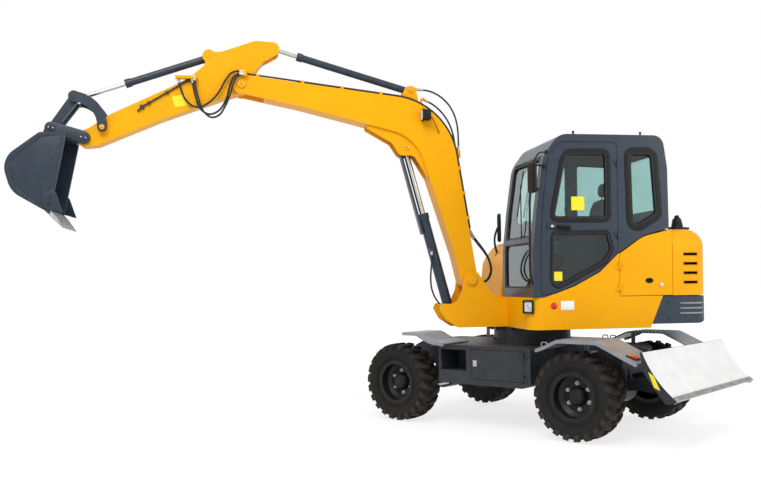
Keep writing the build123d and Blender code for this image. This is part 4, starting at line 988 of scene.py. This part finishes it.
cushion("seat_cushion", (-520, 185, 1730), (-60, 665, 1835), -4, 20, 2)
cushion("back_cushion", (-620, 200, 1850), (-530, 650, 2300), -6, 22, 0)
cushion("headrest", (-625, 315, 2330), (-555, 535, 2470), -6, 12, 0)
FOLD = [(0, 150), (22, 172), (44, 150)]
seat = [tube([(-632, y, 2260), (-650, y, 2400)], 6, 8) for y in (370, 480)]
seat += [turned(FOLD, (-310, HIP[1], 1372 + 44 * i), (0, 0, 1), 4) for i in range(6)]
seat.append(plate(rectangle(-500, 215, -110, 635, 30), 1640, 1722, "Z"))
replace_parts(set_piece("seat_frame", seat, "black_plastic", bevel=4), "seat")
print("seat padded")

# %% Steering wheel, consoles and levers
HUB = Vector((42, 425, 2010))
TILT = Vector((-0.32, 0, 1)).normalized()
CROSSWAYS = Vector((0, 1, 0))
RIM_RADIUS, GRIP_RADIUS = 165, 15
turns = [2 * math.pi * k / 10 for k in range(10)]
grip = [(GRIP_RADIUS * math.sin(a), RIM_RADIUS + GRIP_RADIUS * math.cos(a)) for a in turns]
wheel = [turned(grip, HUB, TILT, 40, ring=True)]
across_wheel = TILT.cross(CROSSWAYS).normalized()
for degrees in (90, 210, 330):
    spoke = across_wheel * math.cos(math.radians(degrees)) + CROSSWAYS * math.sin(math.radians(degrees))
    wheel.append(tube([HUB - TILT * 12, HUB + spoke * 160], 9, 8, flat=1.6))
wheel.append(turned([(-34, 30), (6, 44), (18, 36), (22, 0)], HUB, TILT, 24))
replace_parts(set_piece("steering_wheel", wheel, "black_plastic"), "controls")

controls = [
    tube(bent([(100, 425, 1362), (96, 425, 1700), (46, 425, 1985)], 160), 34, 16),
    turned([(0, 70), (40, 46), (60, 40)], (100, 425, 1357), (0, 0, 1), 24),
]
for y in (105, 735):
    console = rounded([(-500, 1360), (-60, 1360), (-70, 1880), (-120, 1980), (-500, 1980)], 50)
    controls += [
        plate(console, y - 42, y + 42),
        turned([(0, 42), (16, 40), (60, 16), (70, 13)], (-130, y, 1976), (0.06, 0, 1), 20),
        tube([(-130, y, 2030), (-120, y, 2120)], 9, 10),
        turned([(0, 17), (26, 22), (66, 25), (92, 22), (102, 10)], (-121, y, 2100), (0.08, 0, 1), 20),
    ]
pedal = rounded([(118, 1362), (210, 1410), (216, 1398), (132, 1357)], 4)
controls += [plate(pedal, y - 36, y + 36) for y in (340, 510)]
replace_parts(set_piece("cab_controls", controls, "black_plastic", bevel=5), "controls")
print("controls stand for the CAD node")

# %% [markdown]
# ## Louvres and body trim
# Each cooling slot has a lip folded out of the sheet above it, which sheds rain. Below the tail the
# counterweight has a set of cast ribs. The skirt carries a round reflector, a blank plate and a lamp.

# %% Louvre lips and tail ribs
LOUVRE_HEIGHTS = (1425, 1517, 1609, 1701)
lips = []
for z in LOUVRE_HEIGHTS:
    lips += plates(rectangle(-1400, z + 27, -1242, z + 34, 3), 888, 907)
    lips += plates(rectangle(-1400, z - 7, -1242, z - 2, 2), 888, 903)
set_piece("louvre_lips", lips, "upper_paint", "bonnet", bevel=2)
ribs = []
for z in (1135, 1184, 1233):
    rib = rounded([(-1208, z - 7), (-1430, z - 7), (-1444, z + 9), (-1196, z + 9)], 5)
    ribs += [plate(rib, face - 14, face + 6) for face in (900, -900)]
set_piece("tail_ribs", ribs, "fender_paint", bevel=2.5)
print("louvres and ribs done")

# %% Blank plates and reflector
# inner and outer face of a plate on the skirt, on the glass and on the arm
ON_SKIRT, ON_GLASS, ON_ARM = (899.5, 903), (880.2, 882), (91.5, 93.5)
ARM_SHEET = [(3522, 3251), (3660, 3225), (3690, 3329), (3562, 3355)]
# name, outline, faces, finish, body, bevel
SIGNS = [
    ("blank_plate", rectangle(-112, 1188, 22, 1274, 6), ON_SKIRT, "blank_white", "upper", 1),
    ("pane_label", rectangle(-236, 2146, -104, 2278, 8), ON_GLASS, "blank_yellow", "cab_door", 0),
    ("frame_label", rectangle(-4, 1468, 80, 1556, 8), ON_GLASS, "blank_yellow", "cab_door", 0),
    ("arm_label", rounded(ARM_SHEET, 8), ON_ARM, "blank_yellow", "arm", 0),
]
for name, outline, faces, finish, body, bevel in SIGNS:
    set_piece(name, [plate(outline, *faces)], finish, body, bevel)
reflector = turned([(0, 33), (5, 33), (9, 26), (11, 0)], (91, 899, 1229), (0, 1, 0))
set_piece("reflector", [reflector], "red_lens")
print(len(SIGNS), "blank plates set")

# %% Lamp in the platform's corner
LAMP_TURN = 30
lamp_place = UPPER @ Matrix.Translation((215, 770, 1222)) @ Matrix.Rotation(math.radians(LAMP_TURN), 4, "Z")
outer = rectangle(-66, -66, 66, 66, 14)
flutes = [plate(rectangle(-48, z, 48, z + 4), 126, 129.5, "X") for z in range(-42, 39, 20)]
for name, forms, finish, bevel in (
    ("bezel", [ribbon(outer, inset(outer, 18), 122, 134, "X")], "black_plastic", 2.5),
    ("lens", [plate(inset(outer, 16), 112, 127, "X")], "clear_lens", 4),
    ("flutes", flutes, "zinc", 0),
):
    set_piece("corner_lamp_" + name, forms, finish, bevel=bevel, place=lamp_place)
print("corner lamp set")

# %% [markdown]
# ## Locks, grips and caps on the body
# Small turned or cast parts mark where a hand goes: the oval grip of the side door, its lock, the black
# device on the bonnet behind the cab.

# %% Locks and grips
turns = [2 * math.pi * k / 28 for k in range(28)]
oval = [Vector((-885 + 35 * math.cos(a), 1460 + 20 * math.sin(a))) for a in turns]
grip = [ribbon(inset(oval, -6), inset(oval, 6), 897, 904), plate(inset(oval, 5), 885, 889)]
set_piece("side_door_grip", grip, "black_plastic", "side_door", bevel=1.5)
lock = [(0, 19), (4, 19), (6, 14), (6, 6), (3, 6)]
set_piece("side_door_lock", [turned(lock, (-1010, 902.5, 1415), (0, 1, 0), 24)], "zinc", "side_door")
device = [
    plate(rounded([(-1262, 1966), (-1420, 1966), (-1428, 1988), (-1262, 2000)], 10), 560, 700),
    plate(rounded([(-1285, 1994), (-1300, 2080), (-1328, 2096), (-1352, 2072), (-1372, 1994)], 14), 585, 675),
    turned([(0, 24), (30, 24), (40, 15)], (-1330, 630, 2076), (0.2, 0, 1), 20),
]
set_piece("bonnet_device", device, "black_plastic", "bonnet", bevel=4)
print("grips and locks set")

# %% [markdown]
# ## Pins and their keepers
# A pin must not turn in its bracket, so a keeper plate across its end is held by two bolts, and a grease
# nipple sits in the middle. The pins' places are the CAD's, and the caps lie flat on the cheeks.

# %% Pin caps
# name, body, x, z, y of the face, radius, finish
PIN_CAPS = [
    ("boom_foot", "upper", 700, 1490, 194, 48, "upper_paint"),
    ("boom_tip", "boom", 3012, 3465, 133, 44, "upper_paint"),
    ("arm_eye", "arm", 2671, 3843, 74, 34, "upper_paint"),
    ("guide", "arm", 4344, 3010, 158, 26, "upper_paint"),
    ("bucket_pin", "bucket", 4522, 2913, 124, 34, "cylinder_paint"),
    ("bucket_link", "bucket", 4821, 3003, 124, 30, "cylinder_paint"),
    ("boom_eye", "boom", 1350, 2860, 98, 36, "upper_paint"),
    ("arm_cylinder", "boom", 1290, 3448, 66, 28, "upper_paint"),
]
# sizes of a small bolt: radius and height of the head, radius and height of the washer
SMALL_BOLT = (6, 5, 8, 1.5)
for name, body, x, z, face, radius, finish in PIN_CAPS:
    profile = [(0, radius), (8, radius), (11, radius - 4), (11, 9), (17, 9), (20, 5), (24, 5), (25, 0)]
    caps, spots = [], []
    for out in (1, -1):
        caps.append(turned(profile, (x, out * (face - 3), z), (0, out, 0), 28))
        spots += bolt_ring((x, out * (face + 7.5), z), (0, out, 0), radius * 0.66, 2, 0.6)
    set_piece(name + "_caps", caps, finish, body)
    set_bolts(name + "_bolts", spots, body, SMALL_BOLT)

# %% [markdown]
# ## Wheels
# The rim is bolted to its hub by studs with bright nuts round a black hub cap. The tyre's flank carries
# raised rings, which keep its rubber from scuffing. Both go round the axle, so they are turned pieces and
# bolt circles, drawn once for each wheel.

# %% Hubs, nuts and flank rings
# name, axle x, side
WHEELS = [
    ("front_left", 1120, 1), ("front_right", 1120, -1),
    ("rear_left", -970, 1), ("rear_right", -970, -1),
]
AXLE_Z = 412
NUT_CIRCLE = 120
FLANK, FLANK_MIDDLE, FLANK_SLOPE = 944, 310, 0.19
HUB_CAP = [(0, 66), (8, 66), (14, 60), (16, 40), (22, 36), (26, 20)]
for name, x, out in WHEELS:
    body, way = "wheel_" + name, (0, out, 0)
    nuts = bolt_ring((x, out * 806.5, AXLE_Z), way, NUT_CIRCLE, 6, 0.35)
    set_bolts(name + "_nuts", nuts, body, (15, 17, 20, 4), place=LOWER)
    studs = [turned([(0, 7), (30, 7), (33, 4)], spot, face, 12) for spot, face in nuts]
    set_piece(name + "_studs", studs, "zinc", body, place=LOWER)
    cap = turned(HUB_CAP, (x, out * 864, AXLE_Z), way, 36)
    set_piece(name + "_hub_cap", [cap], "rim_paint", body, place=LOWER)
    spots = bolt_ring((x, out * 872, AXLE_Z), way, 52, 6, 0.2)
    set_bolts(name + "_cap_bolts", spots, body, SMALL_BOLT, "rim_paint", place=LOWER)
    ribs = []
    for radius, height, width in ((252, 4, 6), (266, 5, 10), (326, 4, 6)):
        depth = FLANK - abs(radius - FLANK_MIDDLE) * FLANK_SLOPE
        foot, top = depth - 8, depth + height
        near, far = width / 2, width
        profile = [(foot, radius - far), (top, radius - near), (top, radius + near), (foot, radius + far)]
        ribs.append(turned(profile, (x, 0, AXLE_Z), way, 72, ring=True))
    set_piece(name + "_flank_rings", ribs, "tyre", body, place=LOWER)

# %% [markdown]
# The tread is a pair of staggered rows of lugs. Each lug is lofted through seven sections, from the
# middle of the tread over the shoulder and a little way down the flank, wider and further round as it
# goes out. The carcass below it is one turned ring. Together they stand for the CAD tyre.

# %% Tyres
WHEEL_Y = 799
LUG_COUNT = 22
ROLL_R = 412
# outer point and foot of a section, each across the tyre from its middle and from the axle; half width; shift
LUG_SECTIONS = [
    ((6, 411), (6, 380), 17, 0),
    ((42, 412), (42, 380), 21, 6),
    ((82, 411), (82, 380), 26, 17),
    ((116, 406), (112, 376), 30, 32),
    ((139, 394), (128, 366), 32, 46),
    ((149, 373), (136, 352), 30, 54),
    ((150, 350), (140, 336), 25, 58),
]
CARCASS = [
    (-125, 211), (125, 211), (126, 236), (151, 308), (139, 362), (112, 387),
    (-112, 387), (-139, 362), (-151, 308), (-126, 236),
]


def lug(centre, side, start):
    """One lug on a side of the tyre, from a turn about the axle."""
    rings = []
    for top, foot, half, shift in LUG_SECTIONS:
        ring = []
        for (across, radius), way, slack in ((foot, -1, 5), (top, -1, 0), (top, 1, 0), (foot, 1, 5)):
            turn = start + (shift + way * (half + slack)) / ROLL_R
            ring.append(centre + Vector((radius * math.sin(turn), side * across, radius * math.cos(turn))))
        rings.append(ring)
    return rings, "capped"


for name, x, out in WHEELS:
    body, centre = "wheel_" + name, Vector((x, WHEEL_Y * out, AXLE_Z))
    ring = turned(rounded(CARCASS, 30), centre, (0, out, 0), 72, ring=True)
    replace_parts(set_piece(name + "_carcass", [ring], "tyre", body, place=LOWER), f"tyre_{name}")
    lugs = []
    for i in range(LUG_COUNT):
        for side, late in ((1, 0), (-1, 0.5)):
            lugs.append(lug(centre, side, 2 * math.pi * (i + late) / LUG_COUNT))
    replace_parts(set_piece(name + "_lugs", lugs, "tread", body, 3, LOWER), f"tyre_{name}")
print(len(WHEELS), "tyres with", 2 * LUG_COUNT, "lugs each")

# %% [markdown]
# ## Undercarriage trim
# Boots climb over the rear fenders, so those have anti-slip studs, set in rows by the same tree that sets
# the bolts. Grab loops, the tail lamps in their housings, the latch of the tool locker and the ring of
# bolts under the slew bearing complete it.

# %% Anti-slip studs and slew ring bolts
STUD_PITCH = 38
spots = []
for out in (1, -1):
    for i in range(11):
        for k in range(10):
            x = -810 - i * STUD_PITCH + (STUD_PITCH / 2 if k % 2 else 0)
            if -1190 < x < -838:
                spots.append(((x, out * (545 + k * STUD_PITCH), 931.5), (0, 0, 1)))
STUD = (8, 3.5, 11, 1.5, 8)
set_bolts("tread_studs", spots, "undercarriage", STUD, "fender_paint", LOWER)
spots = bolt_ring((0, 0, 999), (0, 0, -1), 450, 28)
set_bolts("slew_bolts", spots, "upper", (15, 26, 19, 5), "black_plastic")
spots = bolt_ring((0, 0, 859), (0, 0, 1), 408, 28, 0.1)
set_bolts("ring_foot_bolts", spots, "undercarriage", (7, 12, 8, 2), "black_plastic", LOWER)

# %% Grab loops, latch plates and tail lamps
loops = []
for y in (640, -640):
    for x in (-520, -610):
        path = [(x + 30, y, 834), (x + 30, y, 876), (x - 30, y, 876), (x - 30, y, 838)]
        loops.append(tube(bent(path, 16), 6, 8))
set_piece("grab_loops", loops, "zinc", "undercarriage", place=LOWER)

SLOPE = (Vector((-1600, 0, 752)) - Vector((-1490, 0, 800))).normalized()
slope_axes = Matrix((SLOPE, (0, -1, 0), (SLOPE.z, 0, -SLOPE.x))).transposed().to_4x4()
# name, outline, radius of its corners, low, high, finish, bevel
TAIL_LAMP = [
    ("tail_lamp_housing", [(-44, -70), (52, -46), (52, 46), (-44, 70)], 12, -3, 7, "black_plastic", 3),
    ("tail_lamp", [(-8, -44), (42, -32), (42, 32), (-8, 44)], 9, 5, 14, "red_lens", 4),
    ("turn_lamp", [(-34, -52), (-12, -46), (-12, 46), (-34, 52)], 7, 5, 12, "amber_lens", 3),
]
for side_name, out in (("left", 1), ("right", -1)):
    latch = [
        plate(rectangle(130, 624, 176, 686, 5), *sorted((out * 843, out * 847))),
        turned([(0, 11), (5, 11), (7, 7)], (155, out * 847, 655), (0, out, 0), 20),
    ]
    set_piece(f"locker_latch_{side_name}", latch, "zinc", f"tool_door_{side_name}", 1, LOWER)
    place = LOWER @ Matrix.Translation((-1515, out * 830, 793)) @ slope_axes
    for name, outline, radius, low, high, finish, bevel in TAIL_LAMP:
        form = plate(rounded(outline, radius), low, high, "Z")
        set_piece(f"{name}_{side_name}", [form], finish, "undercarriage", bevel, place)
print("undercarriage trimmed")

# %% [markdown]
# ## Cutting edge
# The blade's hardened cutting edge is a separate bar, bolted on. It follows the board's curve, drawn here
# as a parabola through three of the curve's points.

# %% Cutting edge and end labels
BLADE_CURVE = [Vector((-1650, 850)), Vector((-1768, 640)), Vector((-1950, 455))]


def blade_point(t, out):
    """Point of the blade's face at a share of its height, set out from it."""
    top, middle, foot = BLADE_CURVE
    point = top * (1 - t) * (1 - 2 * t) + middle * 4 * t * (1 - t) + foot * t * (2 * t - 1)
    way = (top * (4 * t - 3) + middle * (4 - 8 * t) + foot * (4 * t - 1)).normalized()
    return point + Vector((way.y, -way.x)) * out


edge_shares = [0.91 + 0.018 * i for i in range(6)]
outline = [blade_point(t, 9) for t in edge_shares] + [blade_point(t, 0.5) for t in reversed(edge_shares)]
set_piece("cutting_edge", [plate(outline, -944, 944)], "tooth_steel", "blade", 2, LOWER)
spot = blade_point(0.955, 8.6)
way = blade_point(0.955, 30) - spot
spots = [((spot.x, -840 + i * 240, spot.y), Vector((way.x, 0, way.y)).normalized()) for i in range(8)]
set_bolts("edge_bolts", spots, "blade", (9, 5, 11, 2, 12), "tooth_steel", LOWER)
sheet = rounded([(-1752, 655), (-1700, 690), (-1752, 560), (-1806, 535)], 5)
set_piece("blade_labels", plates(sheet, 949.5, 951.5), "blank_yellow", "blade", place=LOWER)
print("blade finished")

# %% [markdown]
# ## Work lamp
# The lamp stands on the boom's left, with its lens forward, and its lead runs down to the boom.

# %% Work lamp
lamp = [
    plate(rectangle(148, 3122, 240, 3226, 14), 1116, 1186, "X"),
    plate(rectangle(142, 3116, 246, 3232, 16), 1182, 1204, "X"),
    plate(rectangle(112, 3158, 165, 3190), 1100, 1132, "X"),
]
set_piece("work_lamp", lamp, "black_plastic", "boom", bevel=3)
lens = plate(rectangle(152, 3126, 236, 3222, 14), 1200, 1209, "X")
set_piece("work_lamp_lens", [lens], "clear_lens", "boom", bevel=4)
lead = [
    tube(bent([(1120, 160, 3175), (1090, 190, 3140), (1040, 150, 3060), (1010, 128, 3000)], 40), 4, 8),
    turned([(0, 12), (10, 12), (14, 7)], (1110, 150, 3175), (0, 1, 0), 16),
]
set_piece("work_lamp_lead", lead, "hose_rubber", "boom")
print("work lamp hung")

# %% [markdown]
# ## Hoses and steel lines
# Hydraulic hoses are 18 mm thick. Each ends in a crimped ferrule, a turned sleeve with grooves where the
# press closed it, with the nut of the fitting behind it. Steel lines run along the boom's back and the
# arm, held by clamps.

# %% Ferrules
HOSE_R = 9
FERRULE = [
    (0, 15), (7, 15), (9, 12.5), (12, 12.5), (14, 15), (26, 15),
    (28, 12.5), (31, 12.5), (33, 15), (44, 15), (48, 11),
]


def ferrules(name, ends, body):
    """Crimped sleeves at hose ends, each given as its place and the way the hose leaves."""
    forms = []
    for end, way in ends:
        end, way = Vector(end), Vector(way).normalized()
        forms.append(turned(FERRULE, end - way * 6, way, 18))
        forms.append(turned([(0, 17), (14, 17)], end - way * 19, way, 6))
    set_piece(name, forms, "zinc", body)


def ends_of(route):
    """Both ends of a hose's route, each with the way the hose leaves."""
    return [(route[0], route[1] - route[0]), (route[-1], route[-2] - route[-1])]


# %% Hoses of the boom
# name, y, path in x and z, tail of the fitting at its start and at its end
BOOM_HOSES = [
    (
        "boom_hose_a", 54,
        [(1200, 3462), (1090, 3452), (980, 3402), (888, 3318), (826, 3208), (796, 3085)]
        + [(790, 2960), (790, 2840)],
        (1262, 3468), (790, 2780),
    ),
    (
        "boom_hose_b", 16,
        [(1130, 3362), (1040, 3316), (958, 3246), (892, 3156), (846, 3052), (822, 2945), (815, 2840)],
        (1166, 3380), (815, 2780),
    ),
    (
        "boom_hose_c", 30,
        [(655, 1950), (598, 1872), (527, 1788), (468, 1692), (447, 1583), (490, 1484), (580, 1452)],
        (712, 2028), (645, 1429),
    ),
    (
        "boom_hose_d", -14,
        [(665, 2010), (600, 1915), (520, 1815), (452, 1705), (425, 1585), (468, 1478), (572, 1448)],
        (715, 2083), (640, 1428),
    ),
]
for name, y, route, tail, tip in BOOM_HOSES:
    points = [Vector((x, y, z)) for x, z in route]
    set_piece(name, [tube(bent(points, 60, 6), HOSE_R, 14)], "hose_rubber", "boom")
    ferrules(name + "_ferrules", ends_of(points), "boom")
    fittings = [tube([(x, y, z), end], 14, 18) for (x, z), end in ((tail, points[0]), (tip, points[-1]))]
    set_piece(name + "_fittings", fittings, "upper_paint", "boom")
junction = [block((772, -8, 2762), (880, 70, 2836)), tube([(1200, 16, 3240), (1164, 16, 3379)], 14, 18)]
set_piece("hose_block", junction, "upper_paint", "boom", bevel=4)
print(len(BOOM_HOSES), "hoses on the boom")

# %% Steel lines on the boom's back and on the arm
BACK_FOOT, BOOM_BEND, BOOM_TOP = Vector((612, 1440)), Vector((917, 3305)), Vector((3109, 3572))
BACK_WAY = (BOOM_BEND - BACK_FOOT).normalized()
TOP_WAY = (BOOM_TOP - BOOM_BEND).normalized()
BACK_OUT, TOP_OUT = Vector((-BACK_WAY.y, BACK_WAY.x)), Vector((-TOP_WAY.y, TOP_WAY.x))
BEND_RADIUS = 700
LINE_START, LINE_RISE = 590, 14
LONG_REACH = 1560
corner = BOOM_BEND + (BACK_OUT + TOP_OUT) * (LINE_RISE / (1 + BACK_OUT.dot(TOP_OUT)))
start = BACK_FOOT + BACK_WAY * LINE_START + BACK_OUT * LINE_RISE
lines = []
# reach of the line from the bend, y
for reach, y in ((2085, 112), (LONG_REACH, 88)):
    end = BOOM_BEND + TOP_WAY * reach + TOP_OUT * LINE_RISE
    path = filleted([(*start, 0), (*corner, BEND_RADIUS + LINE_RISE), (*end, 0)], 16)
    lines.append(tube([(p[0], y, p[1]) for p in path], HOSE_R, 14))
set_piece("boom_lines", lines, "steel_line", "boom")
clamps = []
# way along, way out, foot, distances of the clamps from it
for way, out, foot, reaches in (
    (BACK_WAY, BACK_OUT, BACK_FOOT, (700, 960, 1220)),
    (TOP_WAY, TOP_OUT, BOOM_BEND, (700, 1100, 1500, 1950)),
):
    for reach in reaches:
        near, far = foot + way * (reach - 16), foot + way * (reach + 16)
        low = 100 if reach > LONG_REACH else 76
        clamps.append(plate([near, far, far + out * 28, near + out * 28], low, 124))
set_piece("line_clamps", clamps, "upper_paint", "boom", bevel=3)
line = [tube([(3515, 106, 3500), (3963, 106, 3226), (4016, 110, 3176)], HOSE_R, 14)]
for x, z, reach in ((3515, 3500, 22), (3733, 3366.7, 15), (3906, 3260.9, 15), (3972, 3220, 20)):
    line.append(block((x - reach, 90, z - reach), (x + reach, 121, z + reach)))
set_piece("arm_line", line, "steel_line", "arm", bevel=2)
print("lines clamped")

# %% [markdown]
# ## Boom cylinder's hose and guard
# The hose runs in front of the barrel from one port to the other, and a folded guard on the rod's eye
# keeps stones off the rod. Both are drawn along the cylinder and in front of its axis.

# %% Hose and guard of the boom's cylinder
CYLINDER_WAY = Vector((460, 0, 1727)).normalized()
CYLINDER_FRONT = Vector((CYLINDER_WAY.z, 0, -CYLINDER_WAY.x))
BARREL_HOSE_Y = 72
# distance along the cylinder from its foot, distance in front of its axis
BARREL_HOSE = [(690, 28), (610, 46), (505, 86), (400, 122), (292, 136), (188, 118), (104, 72)]


def by_cylinder(reach, front, y):
    """Point beside the boom's cylinder, from its foot."""
    return Vector((890, y, 1133)) + CYLINDER_WAY * reach + CYLINDER_FRONT * front


def along_cylinder(near, far, back, front, low, high):
    """Plate between two distances along the boom's cylinder and two in front of it."""
    corners = [by_cylinder(*pair, 0) for pair in rectangle(near, back, far, front)]
    return plate([(p.x, p.z) for p in corners], low, high)


route = [by_cylinder(*pair, BARREL_HOSE_Y) for pair in BARREL_HOSE]
ferrules("barrel_ferrules", ends_of(route), "boom_barrel")
set_piece("barrel_hose", [tube(bent(route, 60, 6), HOSE_R, 14)], "hose_rubber", "boom_barrel")
elbow = [by_cylinder(104, 72, BARREL_HOSE_Y), by_cylinder(84, 60, 66), by_cylinder(100, 40, 40)]
ports = [along_cylinder(690, 722, 10, 46, 36, 90), tube(elbow, 13, 16)]
set_piece("barrel_ports", ports, "cylinder_paint", "boom_barrel", bevel=3)
guard = [
    along_cylinder(880, 1740, 66, 72, -48, 48),
    along_cylinder(1690, 1740, 30, 67, -30, 30),
    along_cylinder(880, 1740, 50, 67, 43, 48),
    along_cylinder(880, 1740, 50, 67, -48, -43),
]
set_piece("rod_guard", guard, "cylinder_paint", "boom_rod", bevel=2)
print("cylinder hose and guard in place")

# %% [markdown]
# ## Hoses over the boom's tip
# Three hoses cross the joint between boom and arm in slack loops. Each hose is a fixed mesh on no body;
# its ferrule at the boom end rides on the boom and its ferrule at the arm end on the arm.

# %% Tip hoses
# name, y at the boom, y at the arm, path in x and z
TIP_HOSES = [
    (
        "tip_hose_a", 122, 112,
        [(2990, 3590), (3050, 3590), (3112, 3572), (3171, 3492), (3231, 3372), (3309, 3282)]
        + [(3406, 3221), (3493, 3229), (3559, 3297), (3596, 3384), (3624, 3500)],
    ),
    (
        "tip_hose_b", 140, 128,
        [(2990, 3570), (3044, 3560), (3096, 3520), (3130, 3420), (3158, 3300), (3226, 3186)]
        + [(3330, 3140), (3420, 3200), (3452, 3300), (3474, 3400), (3490, 3500)],
    ),
    (
        "tip_hose_c", 158, 144,
        [(2990, 3550), (3036, 3540), (3080, 3490), (3110, 3390), (3150, 3270), (3223, 3140)]
        + [(3310, 3108), (3392, 3180), (3426, 3290), (3452, 3400), (3470, 3520)],
    ),
]
BULGE = 16
for name, y0, y1, route in TIP_HOSES:
    points = []
    for i, (x, z) in enumerate(route):
        share = i / (len(route) - 1)
        points.append(Vector((x, y0 + (y1 - y0) * share + BULGE * math.sin(math.pi * share), z)))
    hose = set_piece(name, [tube(bent(points, 60, 4), 10, 10)], "hose_rubber", None)
    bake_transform(hose)
    ferrules(name + "_boom_ferrule", [(points[0], (1, 0, 0))], "boom")
    ferrules(name + "_arm_ferrule", ends_of(points)[1:], "arm")
set_piece("tip_bulkhead", [block((2955, 100, 3535), (2986, 176, 3606))], "upper_paint", "boom", bevel=4)
set_piece("arm_bulkhead", [block((3440, 90, 3500), (3650, 156, 3530))], "upper_paint", "arm", bevel=4)
print(len(TIP_HOSES), "hoses bend with the arm")

# %% [markdown]
# ## Bucket
# The bucket's back is one rolled plate between two side plates, each edged by a wear strip, with cutters
# at the mouth and five ground teeth on the lip. It stands for the plainer CAD bucket.

# %% Bucket
BUCKET_HALF = 320
BUCKET_WALL = 14
BUCKET_BACK = [(4643, 2912, 0), (4880, 2925, 60), (5222, 2668, 200), (5140, 2372, 220), (4800, 2166, 0)]
BUCKET_INSIDE = [(4641, 2899, 0), (4876, 2912, 48), (5207, 2663, 188), (5128, 2380, 208), (4796, 2181, 0)]
EAR = [(4505, 2976), (4800, 3060), (4885, 2995), (4905, 2895), (4640, 2895), (4522, 2848)]
CUTTER = [(4872, 2345), (4765, 2385), (4742, 2366), (4675, 2164), (4755, 2190), (4850, 2216)]
back = filleted(BUCKET_BACK, 9)
shell = plate(back + filleted(BUCKET_INSIDE, 9)[::-1], 8 - BUCKET_HALF, BUCKET_HALF - 8)
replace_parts(set_piece("bucket_back", [shell], "cylinder_paint", "bucket", bevel=1.5), "bucket")
sides = plates(inset(back, -1.5), BUCKET_HALF - BUCKET_WALL, BUCKET_HALF)
sides += plates(rounded(CUTTER, 14), BUCKET_HALF + 5, BUCKET_HALF + BUCKET_WALL)
sides += plates(rounded(EAR, 30), 100, 124)
for side in (1, -1):
    low, high = sorted((side * (BUCKET_HALF - 1), side * (BUCKET_HALF + 6)))
    sides.append(ribbon(inset(back, -3), inset(back, 42), low, high))
    for x, z, radius in ((4522, 2913, 62), (4821, 3003, 58)):
        sides.append(turned([(0, radius), (26, radius)], (x, side * 99, z), (0, side, 0), 36))
sides.append(turned([(0, 30), (252, 30)], (4522, -126, 2913), (0, 1, 0), 28))
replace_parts(set_piece("bucket_sides", sides, "cylinder_paint", "bucket", bevel=3), "bucket")

LIP = Vector((4806, 2168))
LIP_WAY = Vector((-0.66, -0.7513))
LIP_UP = Vector((-0.7513, 0.66))
TOOTH = [(-70, -14), (20, -12), (190, 1), (190, 8), (60, 28), (-16, 28)]
tooth = rounded([LIP + LIP_WAY * a + LIP_UP * b for a, b in TOOTH], 5, 2)
points = [plate(tooth, 142.5 * i - 30, 142.5 * i + 30) for i in range(-2, 3)]
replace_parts(set_piece("bucket_points", points, "tooth_steel", "bucket", bevel=3), "bucket_teeth")
print("bucket stands for the CAD node")

# %% [markdown]
# ## Bolts of the structure
# The bucket's side cutters are bolted on, and so is the counterweight.

# %% Structure bolts
# name, body, finish, y of the face, sizes, places in x and z
STRUCTURE_BOLTS = [
    ("cutter_bolts", "bucket", "cylinder_paint", 334, (14, 12, 19, 4), ((4800, 2330), (4812, 2262))),
    ("tail_bolts", "upper", "cab_paint", 899, (10, 8, 14, 3), ((-1090, 1080), (-1090, 1250))),
]
for name, body, finish, face, bolt_sizes, places in STRUCTURE_BOLTS:
    spots = [((x, out * face, z), (0, out, 0)) for out in (1, -1) for x, z in places]
    set_bolts(name, spots, body, bolt_sizes, finish)
print("structure bolted")
